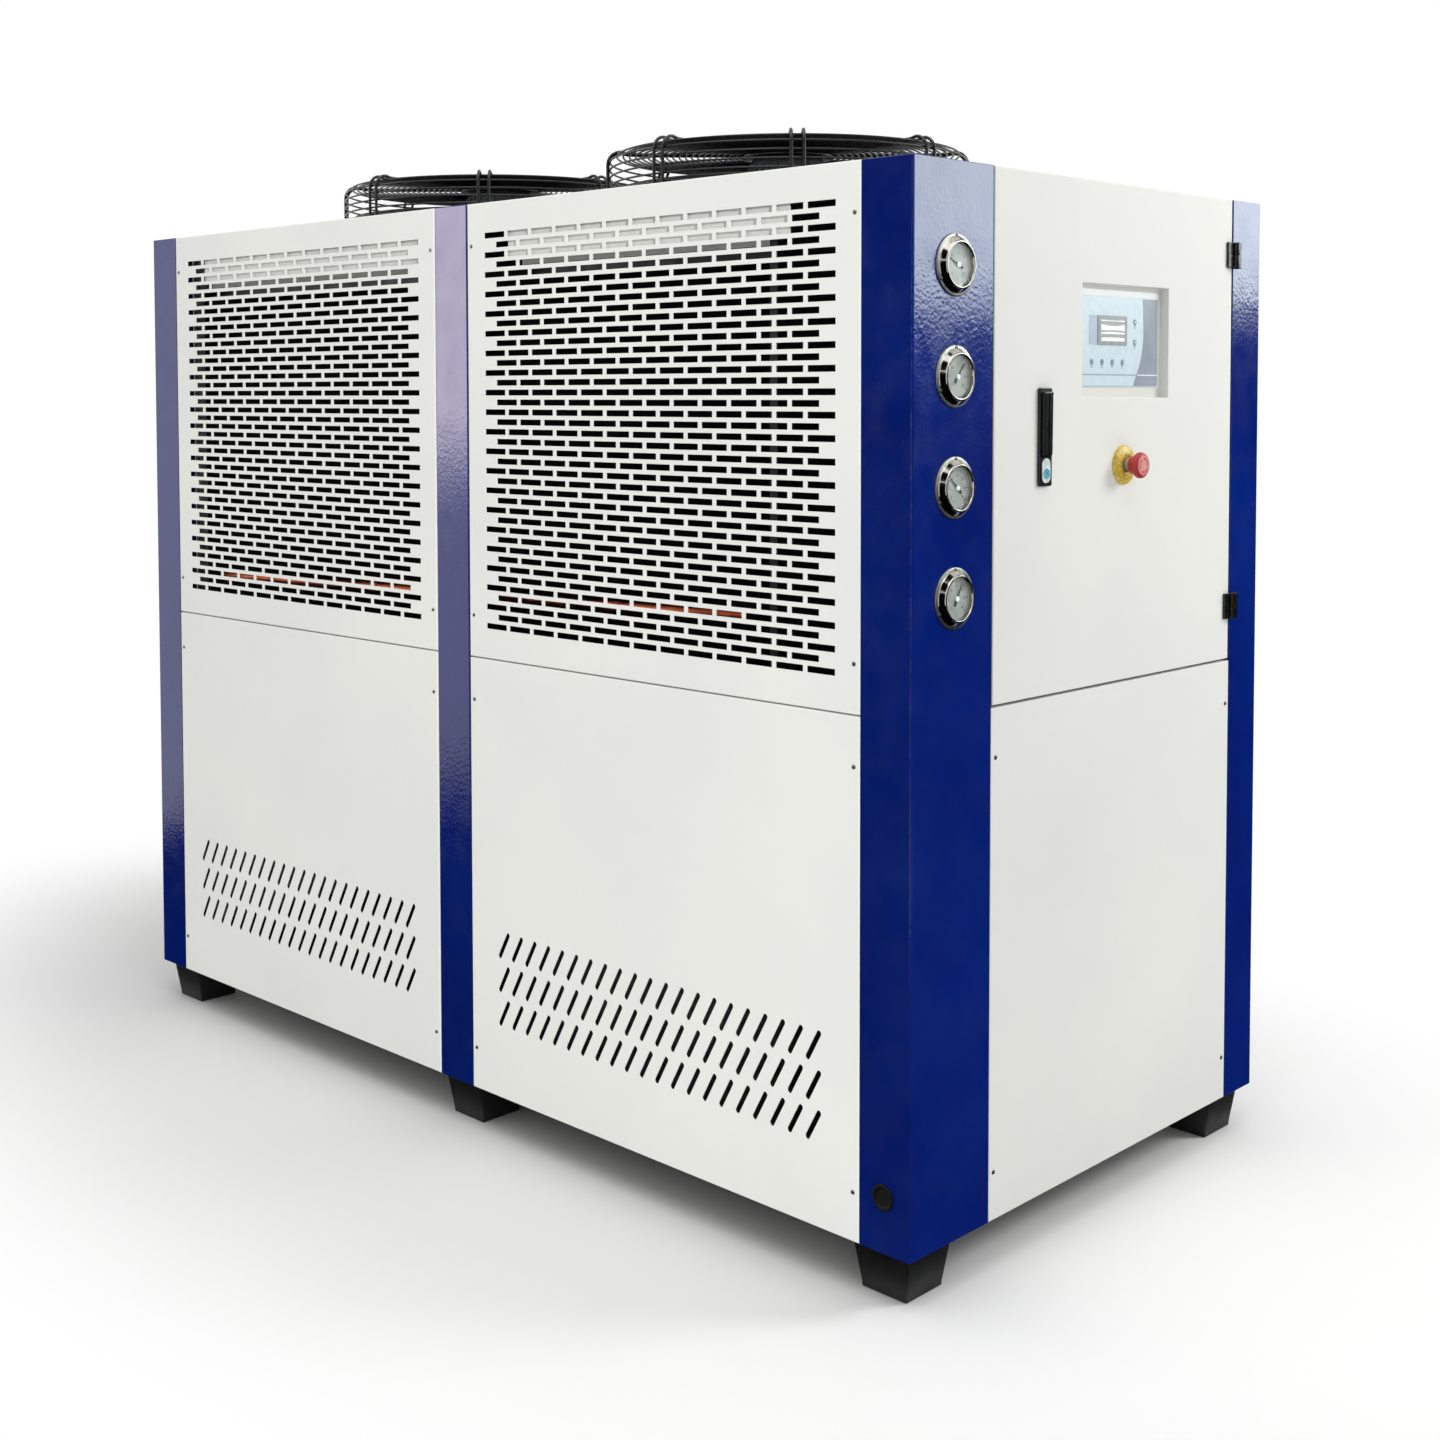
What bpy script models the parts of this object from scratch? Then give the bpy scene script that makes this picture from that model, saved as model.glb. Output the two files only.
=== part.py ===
"""Air cooled water chiller, built as named sheet metal, coil, fan and control pieces.

The cabinet stands on six tapered feet. Six posts carry slotted panels, a shelf and a
fan deck. Two axial fans blow upwards through wire guards. The control door is on the
+X end, with the pressure gauges on the post beside it. Units are metres and +Z is up.
The origin is on the floor, below the middle of the whole outline.
"""
import math

import bmesh
import bpy
from mathutils import Matrix, Vector

COLLECTION_NAME = "air_cooled_chiller"
CUTTER_COLLECTION_NAME = "cutters"

# Clearances
SEAT_GAP = 0.0003
PANEL_SEAM = 0.0008
MIDDLE_SEAM = 0.0020
DOOR_SEAM = 0.0040
PIN_GAP = 0.0005
CUT_MARGIN = 0.0010
JOIN_LAP = 0.0020
SMOOTH_ANGLE = math.radians(35.0)

# Cabinet without its feet and fans
CABINET_LENGTH = 1.986
CABINET_DEPTH = 0.936
CABINET_HEIGHT = 1.500
LOWER_PANEL_HEIGHT = 0.7395
PANEL_SHEET = 0.0020
PANEL_RETURN = 0.020

# Posts
POST_SHEET = 0.0025
POST_WIDTH = 0.089
GAUGE_POST_WIDTH = 0.179

# Feet, tapered towards the floor
FOOT_HEIGHT = 0.073
FOOT_BASE_WIDTH = 0.081
FOOT_TOP_WIDTH = 0.100
FOOT_INSET = 0.025

# Base tray, shelf and bulkhead
TRAY_HEIGHT = 0.060
TRAY_SHEET = 0.003
SHELF_FLANGE = 0.025
BULKHEAD_SETBACK = 0.277
BULKHEAD_RETURN = 0.015

# Air intake slots in the upper panels
SLOT_ROW_PITCH = 0.01624
SLOT_HEIGHT = 0.009
SLOT_TOP_MARGIN = 0.0550
SLOT_END_MARGIN = 0.0455
SLOT_ROW_INSET = 0.031
LIP_ROWS = 3
LIP_SETBACK = 0.0075
LIP_LEFT_DISTANCE = 0.0985
LIP_RIGHT_DISTANCES = {"left": 0.030, "right": 0.1365}

# Slanted vents in the lower panels
VENT_ROWS = 3
VENTS_IN_ROW = 7
VENT_END_MARGIN = 0.068
VENT_WIDTH = 0.010
VENT_RISE = 0.047
VENT_LEAN = 0.026
VENT_ROW_PITCH = 0.0575
VENT_BOTTOM_ROW_RISE = 0.1456

# Condenser coils, their baffles and the copper line
COIL_SETBACK = 0.0590
COIL_THICKNESS = 0.050
COIL_END_CLEARANCE = 0.100
COIL_TOP_CLEARANCE = 0.1024
COIL_CASING = 0.012
COIL_CASING_LIP = 0.004
BAFFLE_SETBACK = 0.0410
BAFFLE_DROP = 0.097
BAFFLE_SHEET = 0.002
BAFFLE_LEFT_END_CLEARANCE = 0.162
BAFFLE_MIDDLE_CLEARANCE = 0.095
LINE_RADIUS = 0.0080
LINE_LEFT_RISE = 0.075
LINE_RIGHT_RISE = 0.110
LINE_END_CLEARANCE = 0.080

# Fan deck and fans
DECK_SHEET = 0.003
FAN_SPACING = 0.786
FAN_OFFSET = -0.047
RING_RADIUS = 0.285
RING_SHEET = 0.0025
RING_FLANGE_RADIUS = 0.336
RING_FLANGE_SHEET = 0.003
RING_RISE = 0.036
RING_DROP = 0.090
RING_STEPS = 32
GUARD_HEIGHT = 0.1030
GUARD_RADIUS = 0.313
GUARD_CORNER = 0.022
GUARD_WIRE = 0.0055
GUARD_WIRE_BITE = 0.4
GUARD_SIDE_RINGS = 2
GUARD_TOP_RINGS = 2
GUARD_SPOKES = 8
GUARD_RING_STEPS = 24
GUARD_HUB_RADIUS = 0.080
GUARD_HUB_SHEET = 0.006
GUARD_SPOKE_LAP = 0.032
MOTOR_RADIUS = 0.070
MOTOR_END_ROUND = 0.008
MOTOR_STEPS = 24
MOTOR_BOTTOM_RISE = 0.0040
ROTOR_TIP_RADIUS = 0.268
ROTOR_HUB_RADIUS = 0.085
ROTOR_HUB_HEIGHT = 0.062
ROTOR_TOP_DROP = 0.020
ROTOR_SHAFT_RADIUS = 0.012
ROTOR_BLADES = 5
BLADE_ROOT_WIDTH = 0.110
BLADE_TIP_WIDTH = 0.150
BLADE_ROOT_PITCH = math.radians(38.0)
BLADE_TIP_PITCH = math.radians(22.0)
BLADE_SHEET = 0.003
BLADE_ROOT_SINK = 0.0085
BLADE_STATIONS = 4

# Control door with its recessed window
WINDOW_FRONT_EDGE = 0.404
WINDOW_WIDTH = 0.242
WINDOW_TOP_DROP = 0.153
WINDOW_HEIGHT = 0.171
WINDOW_DEPTH = 0.015
CONTROLLER_WIDTH = 0.216
CONTROLLER_HEIGHT = 0.136
CONTROLLER_THICKNESS = 0.003
DISPLAY_WIDTH = 0.081
DISPLAY_HEIGHT = 0.0445
DISPLAY_RISE = 0.0015
DISPLAY_FRONT_EDGE = 0.045
DISPLAY_TOP_DROP = 0.029

# Door lock with its lever
LOCK_FRONT_EDGE = 0.288
LOCK_TOP_DROP = 0.3096
LOCK_WIDTH = 0.030
LOCK_HEIGHT = 0.142
LOCK_PLATE_THICKNESS = 0.0055
LEVER_WIDTH = 0.022
LEVER_LENGTH = 0.091
LEVER_THICKNESS = 0.005
LEVER_TOP_DROP = 0.005
LEVER_TIP_TAPER = 0.7
LEVER_STEPS = 12
BARREL_RADIUS = 0.0090
BARREL_LENGTH = 0.0020
BARREL_RISE = 0.018

# Emergency stop
ESTOP_FRONT = 0.517
ESTOP_TOP_DROP = 0.4266
ESTOP_RING_RADIUS = 0.030
ESTOP_RING_THICKNESS = 0.0075
ESTOP_RING_BEVEL = 0.012
ESTOP_RING_BEVEL_HEIGHT = 0.0040
ESTOP_STEM_RADIUS = 0.0105
ESTOP_STEM_CLEARANCE = 0.0007
ESTOP_NECK_RADIUS = 0.0135
ESTOP_NECK_START = 0.0155
ESTOP_TRAVEL = 0.005
ESTOP_BOTTOM_GAP = 0.0015
ESTOP_HEAD_RADIUS = 0.020
ESTOP_HEAD_HEIGHT = 0.012
ESTOP_HEAD_CROWN = 0.0006
ESTOP_HEAD_BEVEL = 0.0056
ESTOP_HEAD_BEVEL_HEIGHT = 0.004
ESTOP_HEAD_UNDERCUT = 0.003
ESTOP_REACH = 0.037
ESTOP_STEPS = 24

# Door hinges, in lift-off halves
HINGE_END_DISTANCE = 0.091
HINGE_HEIGHT = 0.042
HINGE_LEAF_WIDTH = 0.015
HINGE_LEAF_THICKNESS = 0.0055
HINGE_KNUCKLE_RADIUS = 0.0055
HINGE_AXIS_OUT = 0.0070
HINGE_STEPS = 12

# Pressure gauges
GAUGE_TOP_DROP = 0.1425
GAUGE_PITCH = 0.152
GAUGE_COUNT = 4
GAUGE_FRONT_EDGE = 0.092
GAUGE_FLANGE_RADIUS = 0.043
GAUGE_FLANGE_THICKNESS = 0.003
GAUGE_BEZEL_RADIUS = 0.0345
GAUGE_BEZEL_HEIGHT = 0.017
GAUGE_BEZEL_WALL = 0.0045
GAUGE_DIAL_DEPTH = 0.005
GAUGE_BODY_RADIUS = 0.029
GAUGE_BODY_DEPTH = 0.032
GAUGE_STEPS = 16

# Cable grommet in the gauge post
GROMMET_EDGE = 0.047
GROMMET_RISE = 0.079
GROMMET_RADIUS = 0.0185
GROMMET_PROUD = 0.0025
GROMMET_BODY_RADIUS = 0.015
GROMMET_BODY_DEPTH = 0.008
GROMMET_MEMBRANE_DEPTH = 0.0015
GROMMET_LIP = 0.005

# Places worked out from the sizes above
CENTRE_X = -ESTOP_REACH / 2
CENTRE_Y = GROMMET_PROUD / 2
LEFT = CENTRE_X - CABINET_LENGTH / 2
RIGHT = CENTRE_X + CABINET_LENGTH / 2
FRONT = CENTRE_Y - CABINET_DEPTH / 2
REAR = CENTRE_Y + CABINET_DEPTH / 2
BOTTOM = FOOT_HEIGHT
TOP = BOTTOM + CABINET_HEIGHT
SEAM_Z = BOTTOM + LOWER_PANEL_HEIGHT
INNER_INSET = PANEL_RETURN + SEAT_GAP
MIDDLE_LEFT = CENTRE_X - POST_WIDTH / 2
MIDDLE_RIGHT = CENTRE_X + POST_WIDTH / 2
DECK_TOP = TOP - POST_SHEET - SEAT_GAP
DECK_BOTTOM = DECK_TOP - DECK_SHEET
SHELF_TOP = SEAM_Z + PANEL_SHEET
BULKHEAD_X = RIGHT - BULKHEAD_SETBACK
HINGE_Y = REAR - POST_WIDTH - DOOR_SEAM / 2
HINGE_X = RIGHT + HINGE_AXIS_OUT
HINGE_HEIGHTS = {"upper": TOP - HINGE_END_DISTANCE, "lower": SEAM_Z + HINGE_END_DISTANCE}
FAN_CENTRES = {
    "left": Vector((CENTRE_X + FAN_OFFSET - FAN_SPACING / 2, CENTRE_Y)),
    "right": Vector((CENTRE_X + FAN_OFFSET + FAN_SPACING / 2, CENTRE_Y)),
}
GUARD_FOOT_Z = DECK_TOP + SEAT_GAP + RING_FLANGE_SHEET + SEAT_GAP
GUARD_TOP = TOP + GUARD_HEIGHT

# Finishes: linear colour, roughness, metallic
FINISHES = {
    "blue_powder_coat": ((0.012, 0.030, 0.230), 0.42, 0.0),
    "white_powder_coat": ((0.680, 0.680, 0.640), 0.45, 0.0),
    "black_paint": ((0.010, 0.010, 0.011), 0.50, 0.0),
    "galvanised_sheet": ((0.420, 0.430, 0.440), 0.45, 1.0),
    "aluminium_fins": ((0.300, 0.300, 0.310), 0.50, 1.0),
    "copper": ((0.640, 0.270, 0.160), 0.35, 1.0),
    "grey_cast_aluminium": ((0.230, 0.230, 0.250), 0.55, 0.6),
    "chrome": ((0.800, 0.800, 0.810), 0.12, 1.0),
    "grey_faceplate": ((0.560, 0.620, 0.680), 0.40, 0.0),
    "red_plastic": ((0.620, 0.020, 0.030), 0.35, 0.0),
    "yellow_plastic": ((0.720, 0.480, 0.020), 0.40, 0.0),
    "black_plastic": ((0.012, 0.012, 0.013), 0.40, 0.0),
    "black_rubber": ((0.010, 0.010, 0.010), 0.80, 0.0),
}


def clear_scene():
    for old in list(bpy.data.objects):
        bpy.data.objects.remove(old, do_unlink=True)


def new_collection(name):
    collection = bpy.data.collections.new(name)
    bpy.context.scene.collection.children.link(collection)
    return collection


def finish(name):
    material = bpy.data.materials.get(name)
    if material is None:
        colour, roughness, metallic = FINISHES[name]
        material = bpy.data.materials.new(name)
        material.use_nodes = True
        shader = material.node_tree.nodes["Principled BSDF"]
        shader.inputs["Base Color"].default_value = (*colour, 1.0)
        shader.inputs["Roughness"].default_value = roughness
        shader.inputs["Metallic"].default_value = metallic
        material.diffuse_color = (*colour, 1.0)
    return material


def add_object(name, mesh, material=None):
    """Link a mesh as a sub-part, or as a hidden cutter when it has no material."""
    piece = bpy.data.objects.new(name, mesh)
    if material is None:
        cutters.objects.link(piece)
        piece.hide_render = True
        piece.display_type = "WIRE"
    else:
        parts.objects.link(piece)
        mesh.materials.clear()
        mesh.materials.append(finish(material))
    return piece


def mesh_of(shape):
    """Move a bmesh into a new mesh."""
    mesh = bpy.data.meshes.new("shape")
    shape.to_mesh(mesh)
    shape.free()
    return mesh


def mesh_from(build):
    """Make a mesh from a function that fills a bmesh."""
    shape = bmesh.new()
    build(shape)
    bmesh.ops.recalc_face_normals(shape, faces=shape.faces)
    return mesh_of(shape)


def add_cube(shape, low, high):
    """Add a box between two corners and return its vertices."""
    size = Vector(high) - Vector(low)
    middle = (Vector(high) + Vector(low)) / 2
    matrix = Matrix.Translation(middle) @ Matrix.Diagonal((*size, 1.0))
    return bmesh.ops.create_cube(shape, size=1.0, matrix=matrix)["verts"]


def box(name, low, high, material=None):
    return add_object(name, mesh_from(lambda shape: add_cube(shape, low, high)), material)


def sheet_box(name, low, high, open_sides, thickness, material):
    """A folded sheet box: the outer size of a box with some sides left open."""
    def build(shape):
        add_cube(shape, low, high)
        shape.normal_update()
        open_faces = [face for face in shape.faces
                      if any(face.normal.dot(Vector(side)) > 0.9 for side in open_sides)]
        bmesh.ops.delete(shape, geom=open_faces, context="FACES")
    shape = bmesh.new()
    build(shape)
    piece = add_object(name, mesh_of(shape), material)
    solid = piece.modifiers.new("sheet", "SOLIDIFY")
    solid.thickness = thickness
    solid.offset = -1.0
    solid.use_even_offset = True
    return piece


def cylinder(name, start, axis, length, radius, steps, material=None):
    """A cylinder from a start point along an axis, with a flat facing the X axis."""
    def build(shape):
        turn = Vector((0, 0, 1)).rotation_difference(Vector(axis)).to_matrix().to_4x4()
        flat = Matrix.Rotation(math.pi / steps, 4, "Z")
        matrix = (Matrix.Translation(Vector(start)) @ turn
                  @ Matrix.Translation((0, 0, length / 2)) @ flat)
        bmesh.ops.create_cone(shape, cap_ends=True, segments=steps, radius1=radius,
                              radius2=radius, depth=length, matrix=matrix)
    return add_object(name, mesh_from(build), material)


def turn_about_z(piece, steps):
    screw = piece.modifiers.new("turn", "SCREW")
    screw.axis = "Z"
    screw.angle = math.tau
    screw.steps = steps
    screw.render_steps = steps
    screw.use_merge_vertices = True
    screw.merge_threshold = 0.00001


def turned(name, profile, centre, axis, steps, material):
    """Turn a profile of (radius, height) points about an axis through a centre."""
    shape = bmesh.new()
    points = [shape.verts.new((radius, 0.0, height)) for radius, height in profile]
    for first, second in zip(points, points[1:]):
        shape.edges.new((first, second))
    if profile[0][0] > 0.0 and profile[-1][0] > 0.0:
        shape.edges.new((points[-1], points[0]))
    piece = add_object(name, mesh_of(shape), material)
    turn_about_z(piece, steps)
    piece.location = centre
    piece.rotation_mode = "QUATERNION"
    piece.rotation_quaternion = Vector((0, 0, 1)).rotation_difference(Vector(axis))
    return piece


def hole_radius(radius, steps):
    """The corner radius of a faceted hole that clears a round of this radius."""
    return (radius + SEAT_GAP) / math.cos(math.pi / steps)


def boolean(piece, cutter, operation):
    modifier = piece.modifiers.new(cutter.name, "BOOLEAN")
    modifier.operation = operation
    modifier.solver = "EXACT"
    modifier.object = cutter


def cut(piece, cutter):
    boolean(piece, cutter, "DIFFERENCE")


def join(piece, cutter):
    boolean(piece, cutter, "UNION")


def shade_round(piece):
    """Apply a round piece's modifiers, then shade its curved faces smooth."""
    graph = bpy.context.evaluated_depsgraph_get()
    mesh = bpy.data.meshes.new_from_object(piece.evaluated_get(graph))
    piece.modifiers.clear()
    piece.data = mesh
    mesh.shade_smooth()
    mesh.set_sharp_from_angle(angle=SMOOTH_ANGLE)
    return piece


def carried_by(piece, axis_empty):
    """Parent a piece to an empty and keep its place."""
    piece.parent = axis_empty
    piece.matrix_parent_inverse = Matrix.Translation(-axis_empty.location)


def axis_empty(name, place):
    empty = bpy.data.objects.new(name, None)
    empty.location = place
    empty.empty_display_size = 0.05
    parts.objects.link(empty)
    return empty


# Structure

def build_feet():
    """Six feet, tapered towards the floor, below the posts."""
    half_top = FOOT_TOP_WIDTH / 2
    half_base = FOOT_BASE_WIDTH / 2
    end_inset = FOOT_INSET + half_base
    columns = {"left": LEFT + end_inset, "middle": CENTRE_X, "right": RIGHT - end_inset}
    rows = {"front": FRONT + end_inset, "rear": REAR - end_inset}
    height = FOOT_HEIGHT - SEAT_GAP
    corner = math.sqrt(2.0)
    for row, y in rows.items():
        for column, x in columns.items():
            def build(shape):
                matrix = (Matrix.Translation((x, y, height / 2))
                          @ Matrix.Rotation(math.radians(45.0), 4, "Z"))
                bmesh.ops.create_cone(shape, cap_ends=True, segments=4,
                                      radius1=half_base * corner, radius2=half_top * corner,
                                      depth=height, matrix=matrix)
            add_object(f"foot_{row}_{column}", mesh_from(build), "black_paint")


def build_posts():
    """Corner posts are open folded angles with end caps, middle posts are channels."""
    corners = {
        "post_front_right": (RIGHT - POST_WIDTH, FRONT, RIGHT, FRONT + GAUGE_POST_WIDTH,
                             [(-1, 0, 0), (0, 1, 0)]),
        "post_front_left": (LEFT, FRONT, LEFT + POST_WIDTH, FRONT + POST_WIDTH,
                            [(1, 0, 0), (0, 1, 0)]),
        "post_rear_right": (RIGHT - POST_WIDTH, REAR - POST_WIDTH, RIGHT, REAR,
                            [(-1, 0, 0), (0, -1, 0)]),
        "post_rear_left": (LEFT, REAR - POST_WIDTH, LEFT + POST_WIDTH, REAR,
                           [(1, 0, 0), (0, -1, 0)]),
        "post_front_middle": (MIDDLE_LEFT, FRONT, MIDDLE_RIGHT, FRONT + PANEL_RETURN,
                              [(0, 1, 0)]),
        "post_rear_middle": (MIDDLE_LEFT, REAR - PANEL_RETURN, MIDDLE_RIGHT, REAR,
                             [(0, -1, 0)]),
    }
    built = {}
    for name, (x0, y0, x1, y1, open_sides) in corners.items():
        built[name] = sheet_box(name, (x0, y0, BOTTOM), (x1, y1, TOP), open_sides,
                                POST_SHEET, "blue_powder_coat")
    return built


def build_base_tray():
    """The welded tray above the feet, inside the panels' folded edges."""
    floor = BOTTOM + POST_SHEET + SEAT_GAP
    sheet_box("base_tray", (LEFT + INNER_INSET, FRONT + INNER_INSET, floor),
              (RIGHT - INNER_INSET, REAR - INNER_INSET, floor + TRAY_HEIGHT),
              [(0, 0, 1)], TRAY_SHEET, "black_paint")


def build_shelf():
    """The shelf between the compressor space below and the coil space above."""
    sheet_box("middle_shelf",
              (LEFT + INNER_INSET, FRONT + INNER_INSET, SHELF_TOP - SHELF_FLANGE),
              (RIGHT - PANEL_RETURN - DOOR_SEAM, REAR - INNER_INSET, SHELF_TOP),
              [(0, 0, -1)], PANEL_SHEET, "galvanised_sheet")


def build_bulkhead():
    """The wall between the coil space and the control space behind the door."""
    sheet_box("control_bulkhead",
              (BULKHEAD_X, FRONT + INNER_INSET, SHELF_TOP + SEAT_GAP),
              (BULKHEAD_X + BULKHEAD_RETURN, REAR - INNER_INSET, DECK_BOTTOM - SEAT_GAP),
              [(1, 0, 0)], PANEL_SHEET, "black_paint")


def panel(name, low, high, outward, material="white_powder_coat"):
    """A folded tray panel, open on its inner side."""
    inward = tuple(-step for step in outward)
    return sheet_box(name, low, high, [inward], PANEL_SHEET, material)


def slot_rows(z0, z1):
    """Heights of the rows of slots between a panel's edges, from the lowest up."""
    field = z1 - z0 - 2 * SLOT_TOP_MARGIN
    rows = round(field / SLOT_ROW_PITCH) + 1
    lowest = (z0 + z1) / 2 - (rows - 1) / 2 * SLOT_ROW_PITCH
    return [lowest + row * SLOT_ROW_PITCH for row in range(rows)]


def slot_cutter(name, x0, x1, y0, y1, z0, z1):
    """Rows of long slots between two heights. Every second row is inset at both ends."""
    def build(shape):
        for row, z in enumerate(slot_rows(z0, z1)):
            margin = SLOT_END_MARGIN + (SLOT_ROW_INSET if row % 2 else 0.0)
            add_cube(shape, (x0 + margin, y0, z - SLOT_HEIGHT / 2),
                     (x1 - margin, y1, z + SLOT_HEIGHT / 2))
    return add_object(name, mesh_from(build))


def vent_cutter(name, x0, x1, y0, y1, lean):
    """Rows of slanted slots, sheared from upright boxes."""
    middle = (x0 + x1) / 2
    field = x1 - x0 - 2 * VENT_END_MARGIN
    pitch = (field - VENT_LEAN - VENT_WIDTH) / (VENTS_IN_ROW - 1)
    def build(shape):
        for row in range(VENT_ROWS):
            z = BOTTOM + VENT_BOTTOM_ROW_RISE + row * VENT_ROW_PITCH
            for step in range(VENTS_IN_ROW):
                x = middle + (step - (VENTS_IN_ROW - 1) / 2) * pitch
                verts = add_cube(shape, (x - VENT_WIDTH / 2, y0, z - VENT_RISE / 2),
                                 (x + VENT_WIDTH / 2, y1, z + VENT_RISE / 2))
                for vert in verts:
                    vert.co.x += lean * VENT_LEAN / VENT_RISE * (vert.co.z - z)
    return add_object(name, mesh_from(build))


def add_top_lip(upper, side, bay, x0, x1, face, inward, z0, z1):
    """The panel's top return, folded down again behind the top rows of slots."""
    back = face + inward * (LIP_SETBACK + PANEL_SHEET)
    near = face + inward * LIP_SETBACK
    bottom = slot_rows(z0, z1)[-LIP_ROWS] - SLOT_ROW_PITCH / 2
    join(upper, box(f"lip_{side}_{bay}", (x0 + LIP_LEFT_DISTANCE, min(near, back), bottom),
                    (x1 - LIP_RIGHT_DISTANCES[bay], max(near, back), z1 - PANEL_SHEET / 2)))


def build_side_panels():
    """Two bays on the front and two on the rear, each an intake and a vent panel."""
    bays = {"left": (LEFT + POST_WIDTH + PANEL_SEAM, MIDDLE_LEFT - PANEL_SEAM),
            "right": (MIDDLE_RIGHT + PANEL_SEAM, RIGHT - POST_WIDTH - PANEL_SEAM)}
    upper_bottom = SEAM_Z + MIDDLE_SEAM / 2
    sides = {"front": (FRONT, FRONT + PANEL_RETURN, (0, -1, 0), 1.0, FRONT),
             "rear": (REAR - PANEL_RETURN, REAR, (0, 1, 0), -1.0, REAR)}
    for side, (y0, y1, outward, lean, face) in sides.items():
        for bay, (x0, x1) in bays.items():
            upper = panel(f"intake_panel_{side}_{bay}", (x0, y0, upper_bottom), (x1, y1, TOP),
                          outward)
            cut(upper, slot_cutter(f"slots_{side}_{bay}", x0, x1, y0 - CUT_MARGIN,
                                   y1 + CUT_MARGIN, upper_bottom, TOP))
            add_top_lip(upper, side, bay, x0, x1, face, lean, upper_bottom, TOP)
            lower = panel(f"vent_panel_{side}_{bay}", (x0, y0, BOTTOM),
                          (x1, y1, SEAM_Z - MIDDLE_SEAM / 2), outward)
            cut(lower, vent_cutter(f"vents_{side}_{bay}", x0, x1, y0 - CUT_MARGIN,
                                   y1 + CUT_MARGIN, lean))


def build_end_panels():
    """Plain panels on both ends. The upper one on the right is the control door."""
    y0_right = FRONT + GAUGE_POST_WIDTH + PANEL_SEAM
    y0_left = FRONT + POST_WIDTH + PANEL_SEAM
    y1 = REAR - POST_WIDTH - PANEL_SEAM
    lower_top = SEAM_Z - MIDDLE_SEAM / 2
    upper_bottom = SEAM_Z + MIDDLE_SEAM / 2
    panel("end_panel_right_lower", (RIGHT - PANEL_RETURN, y0_right, BOTTOM),
          (RIGHT, y1, lower_top), (1, 0, 0))
    panel("end_panel_left_lower", (LEFT, y0_left, BOTTOM),
          (LEFT + PANEL_RETURN, y1, lower_top), (-1, 0, 0))
    panel("end_panel_left_upper", (LEFT, y0_left, upper_bottom),
          (LEFT + PANEL_RETURN, y1, TOP), (-1, 0, 0))


def build_deck():
    """The fan deck with two round openings and a baffle above each coil."""
    deck = box("fan_deck", (LEFT + INNER_INSET, FRONT + INNER_INSET, DECK_BOTTOM),
               (RIGHT - PANEL_RETURN - DOOR_SEAM, REAR - INNER_INSET, DECK_TOP),
               "white_powder_coat")
    bays = {"left": (LEFT + BAFFLE_LEFT_END_CLEARANCE, MIDDLE_LEFT - SEAT_GAP),
            "right": (MIDDLE_RIGHT + BAFFLE_MIDDLE_CLEARANCE, BULKHEAD_X - SEAT_GAP)}
    sides = {"front": FRONT + BAFFLE_SETBACK, "rear": REAR - BAFFLE_SETBACK - BAFFLE_SHEET}
    for side, y in sides.items():
        for bay, (x0, x1) in bays.items():
            join(deck, box(f"baffle_{side}_{bay}", (x0, y, DECK_BOTTOM - BAFFLE_DROP),
                           (x1, y + BAFFLE_SHEET, DECK_BOTTOM + DECK_SHEET / 2)))
    for side, centre in FAN_CENTRES.items():
        start = (centre.x, centre.y, DECK_BOTTOM - CUT_MARGIN)
        cut(deck, cylinder(f"fan_opening_{side}", start, (0, 0, 1),
                           DECK_SHEET + 2 * CUT_MARGIN,
                           hole_radius(RING_RADIUS + RING_SHEET, RING_STEPS), RING_STEPS))


# Coils

def build_coils():
    """A finned block on each long side, in a thin casing, standing on the shelf."""
    x0 = LEFT + COIL_END_CLEARANCE
    x1 = BULKHEAD_X - SEAT_GAP
    z0 = SHELF_TOP + SEAT_GAP
    z1 = DECK_BOTTOM - COIL_TOP_CLEARANCE
    sides = {"front": (FRONT + COIL_SETBACK, 1.0), "rear": (REAR - COIL_SETBACK, -1.0)}
    for side, (face, inward) in sides.items():
        back = face + inward * COIL_THICKNESS
        y0 = min(face, back)
        y1 = max(face, back)
        coil = box(f"condenser_coil_{side}", (x0, y0, z0), (x1, y1, z1), "aluminium_fins")
        recesses = {"lower": (y0 - CUT_MARGIN, y0 + COIL_CASING_LIP),
                    "higher": (y1 - COIL_CASING_LIP, y1 + CUT_MARGIN)}
        for where, (low_y, high_y) in recesses.items():
            cut(coil, box(f"coil_recess_{side}_{where}",
                          (x0 + COIL_CASING, low_y, z0 + COIL_CASING),
                          (x1 - COIL_CASING, high_y, z1 - COIL_CASING)))


def build_liquid_line():
    """The copper line that runs across both bays in front of the front coil."""
    y = FRONT + COIL_SETBACK + COIL_CASING_LIP - SEAT_GAP - LINE_RADIUS
    curve = bpy.data.curves.new("liquid_line", "CURVE")
    curve.dimensions = "3D"
    curve.bevel_depth = LINE_RADIUS
    curve.bevel_resolution = 2
    curve.use_fill_caps = True
    spline = curve.splines.new("POLY")
    spline.points.add(1)
    left_end = LEFT + COIL_END_CLEARANCE + LINE_END_CLEARANCE
    right_end = BULKHEAD_X - LINE_END_CLEARANCE
    spline.points[0].co = (left_end, y, SHELF_TOP + LINE_LEFT_RISE, 1.0)
    spline.points[1].co = (right_end, y, SHELF_TOP + LINE_RIGHT_RISE, 1.0)
    line = bpy.data.objects.new("liquid_line", curve)
    curve.materials.append(finish("copper"))
    parts.objects.link(line)


# Fans

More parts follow.
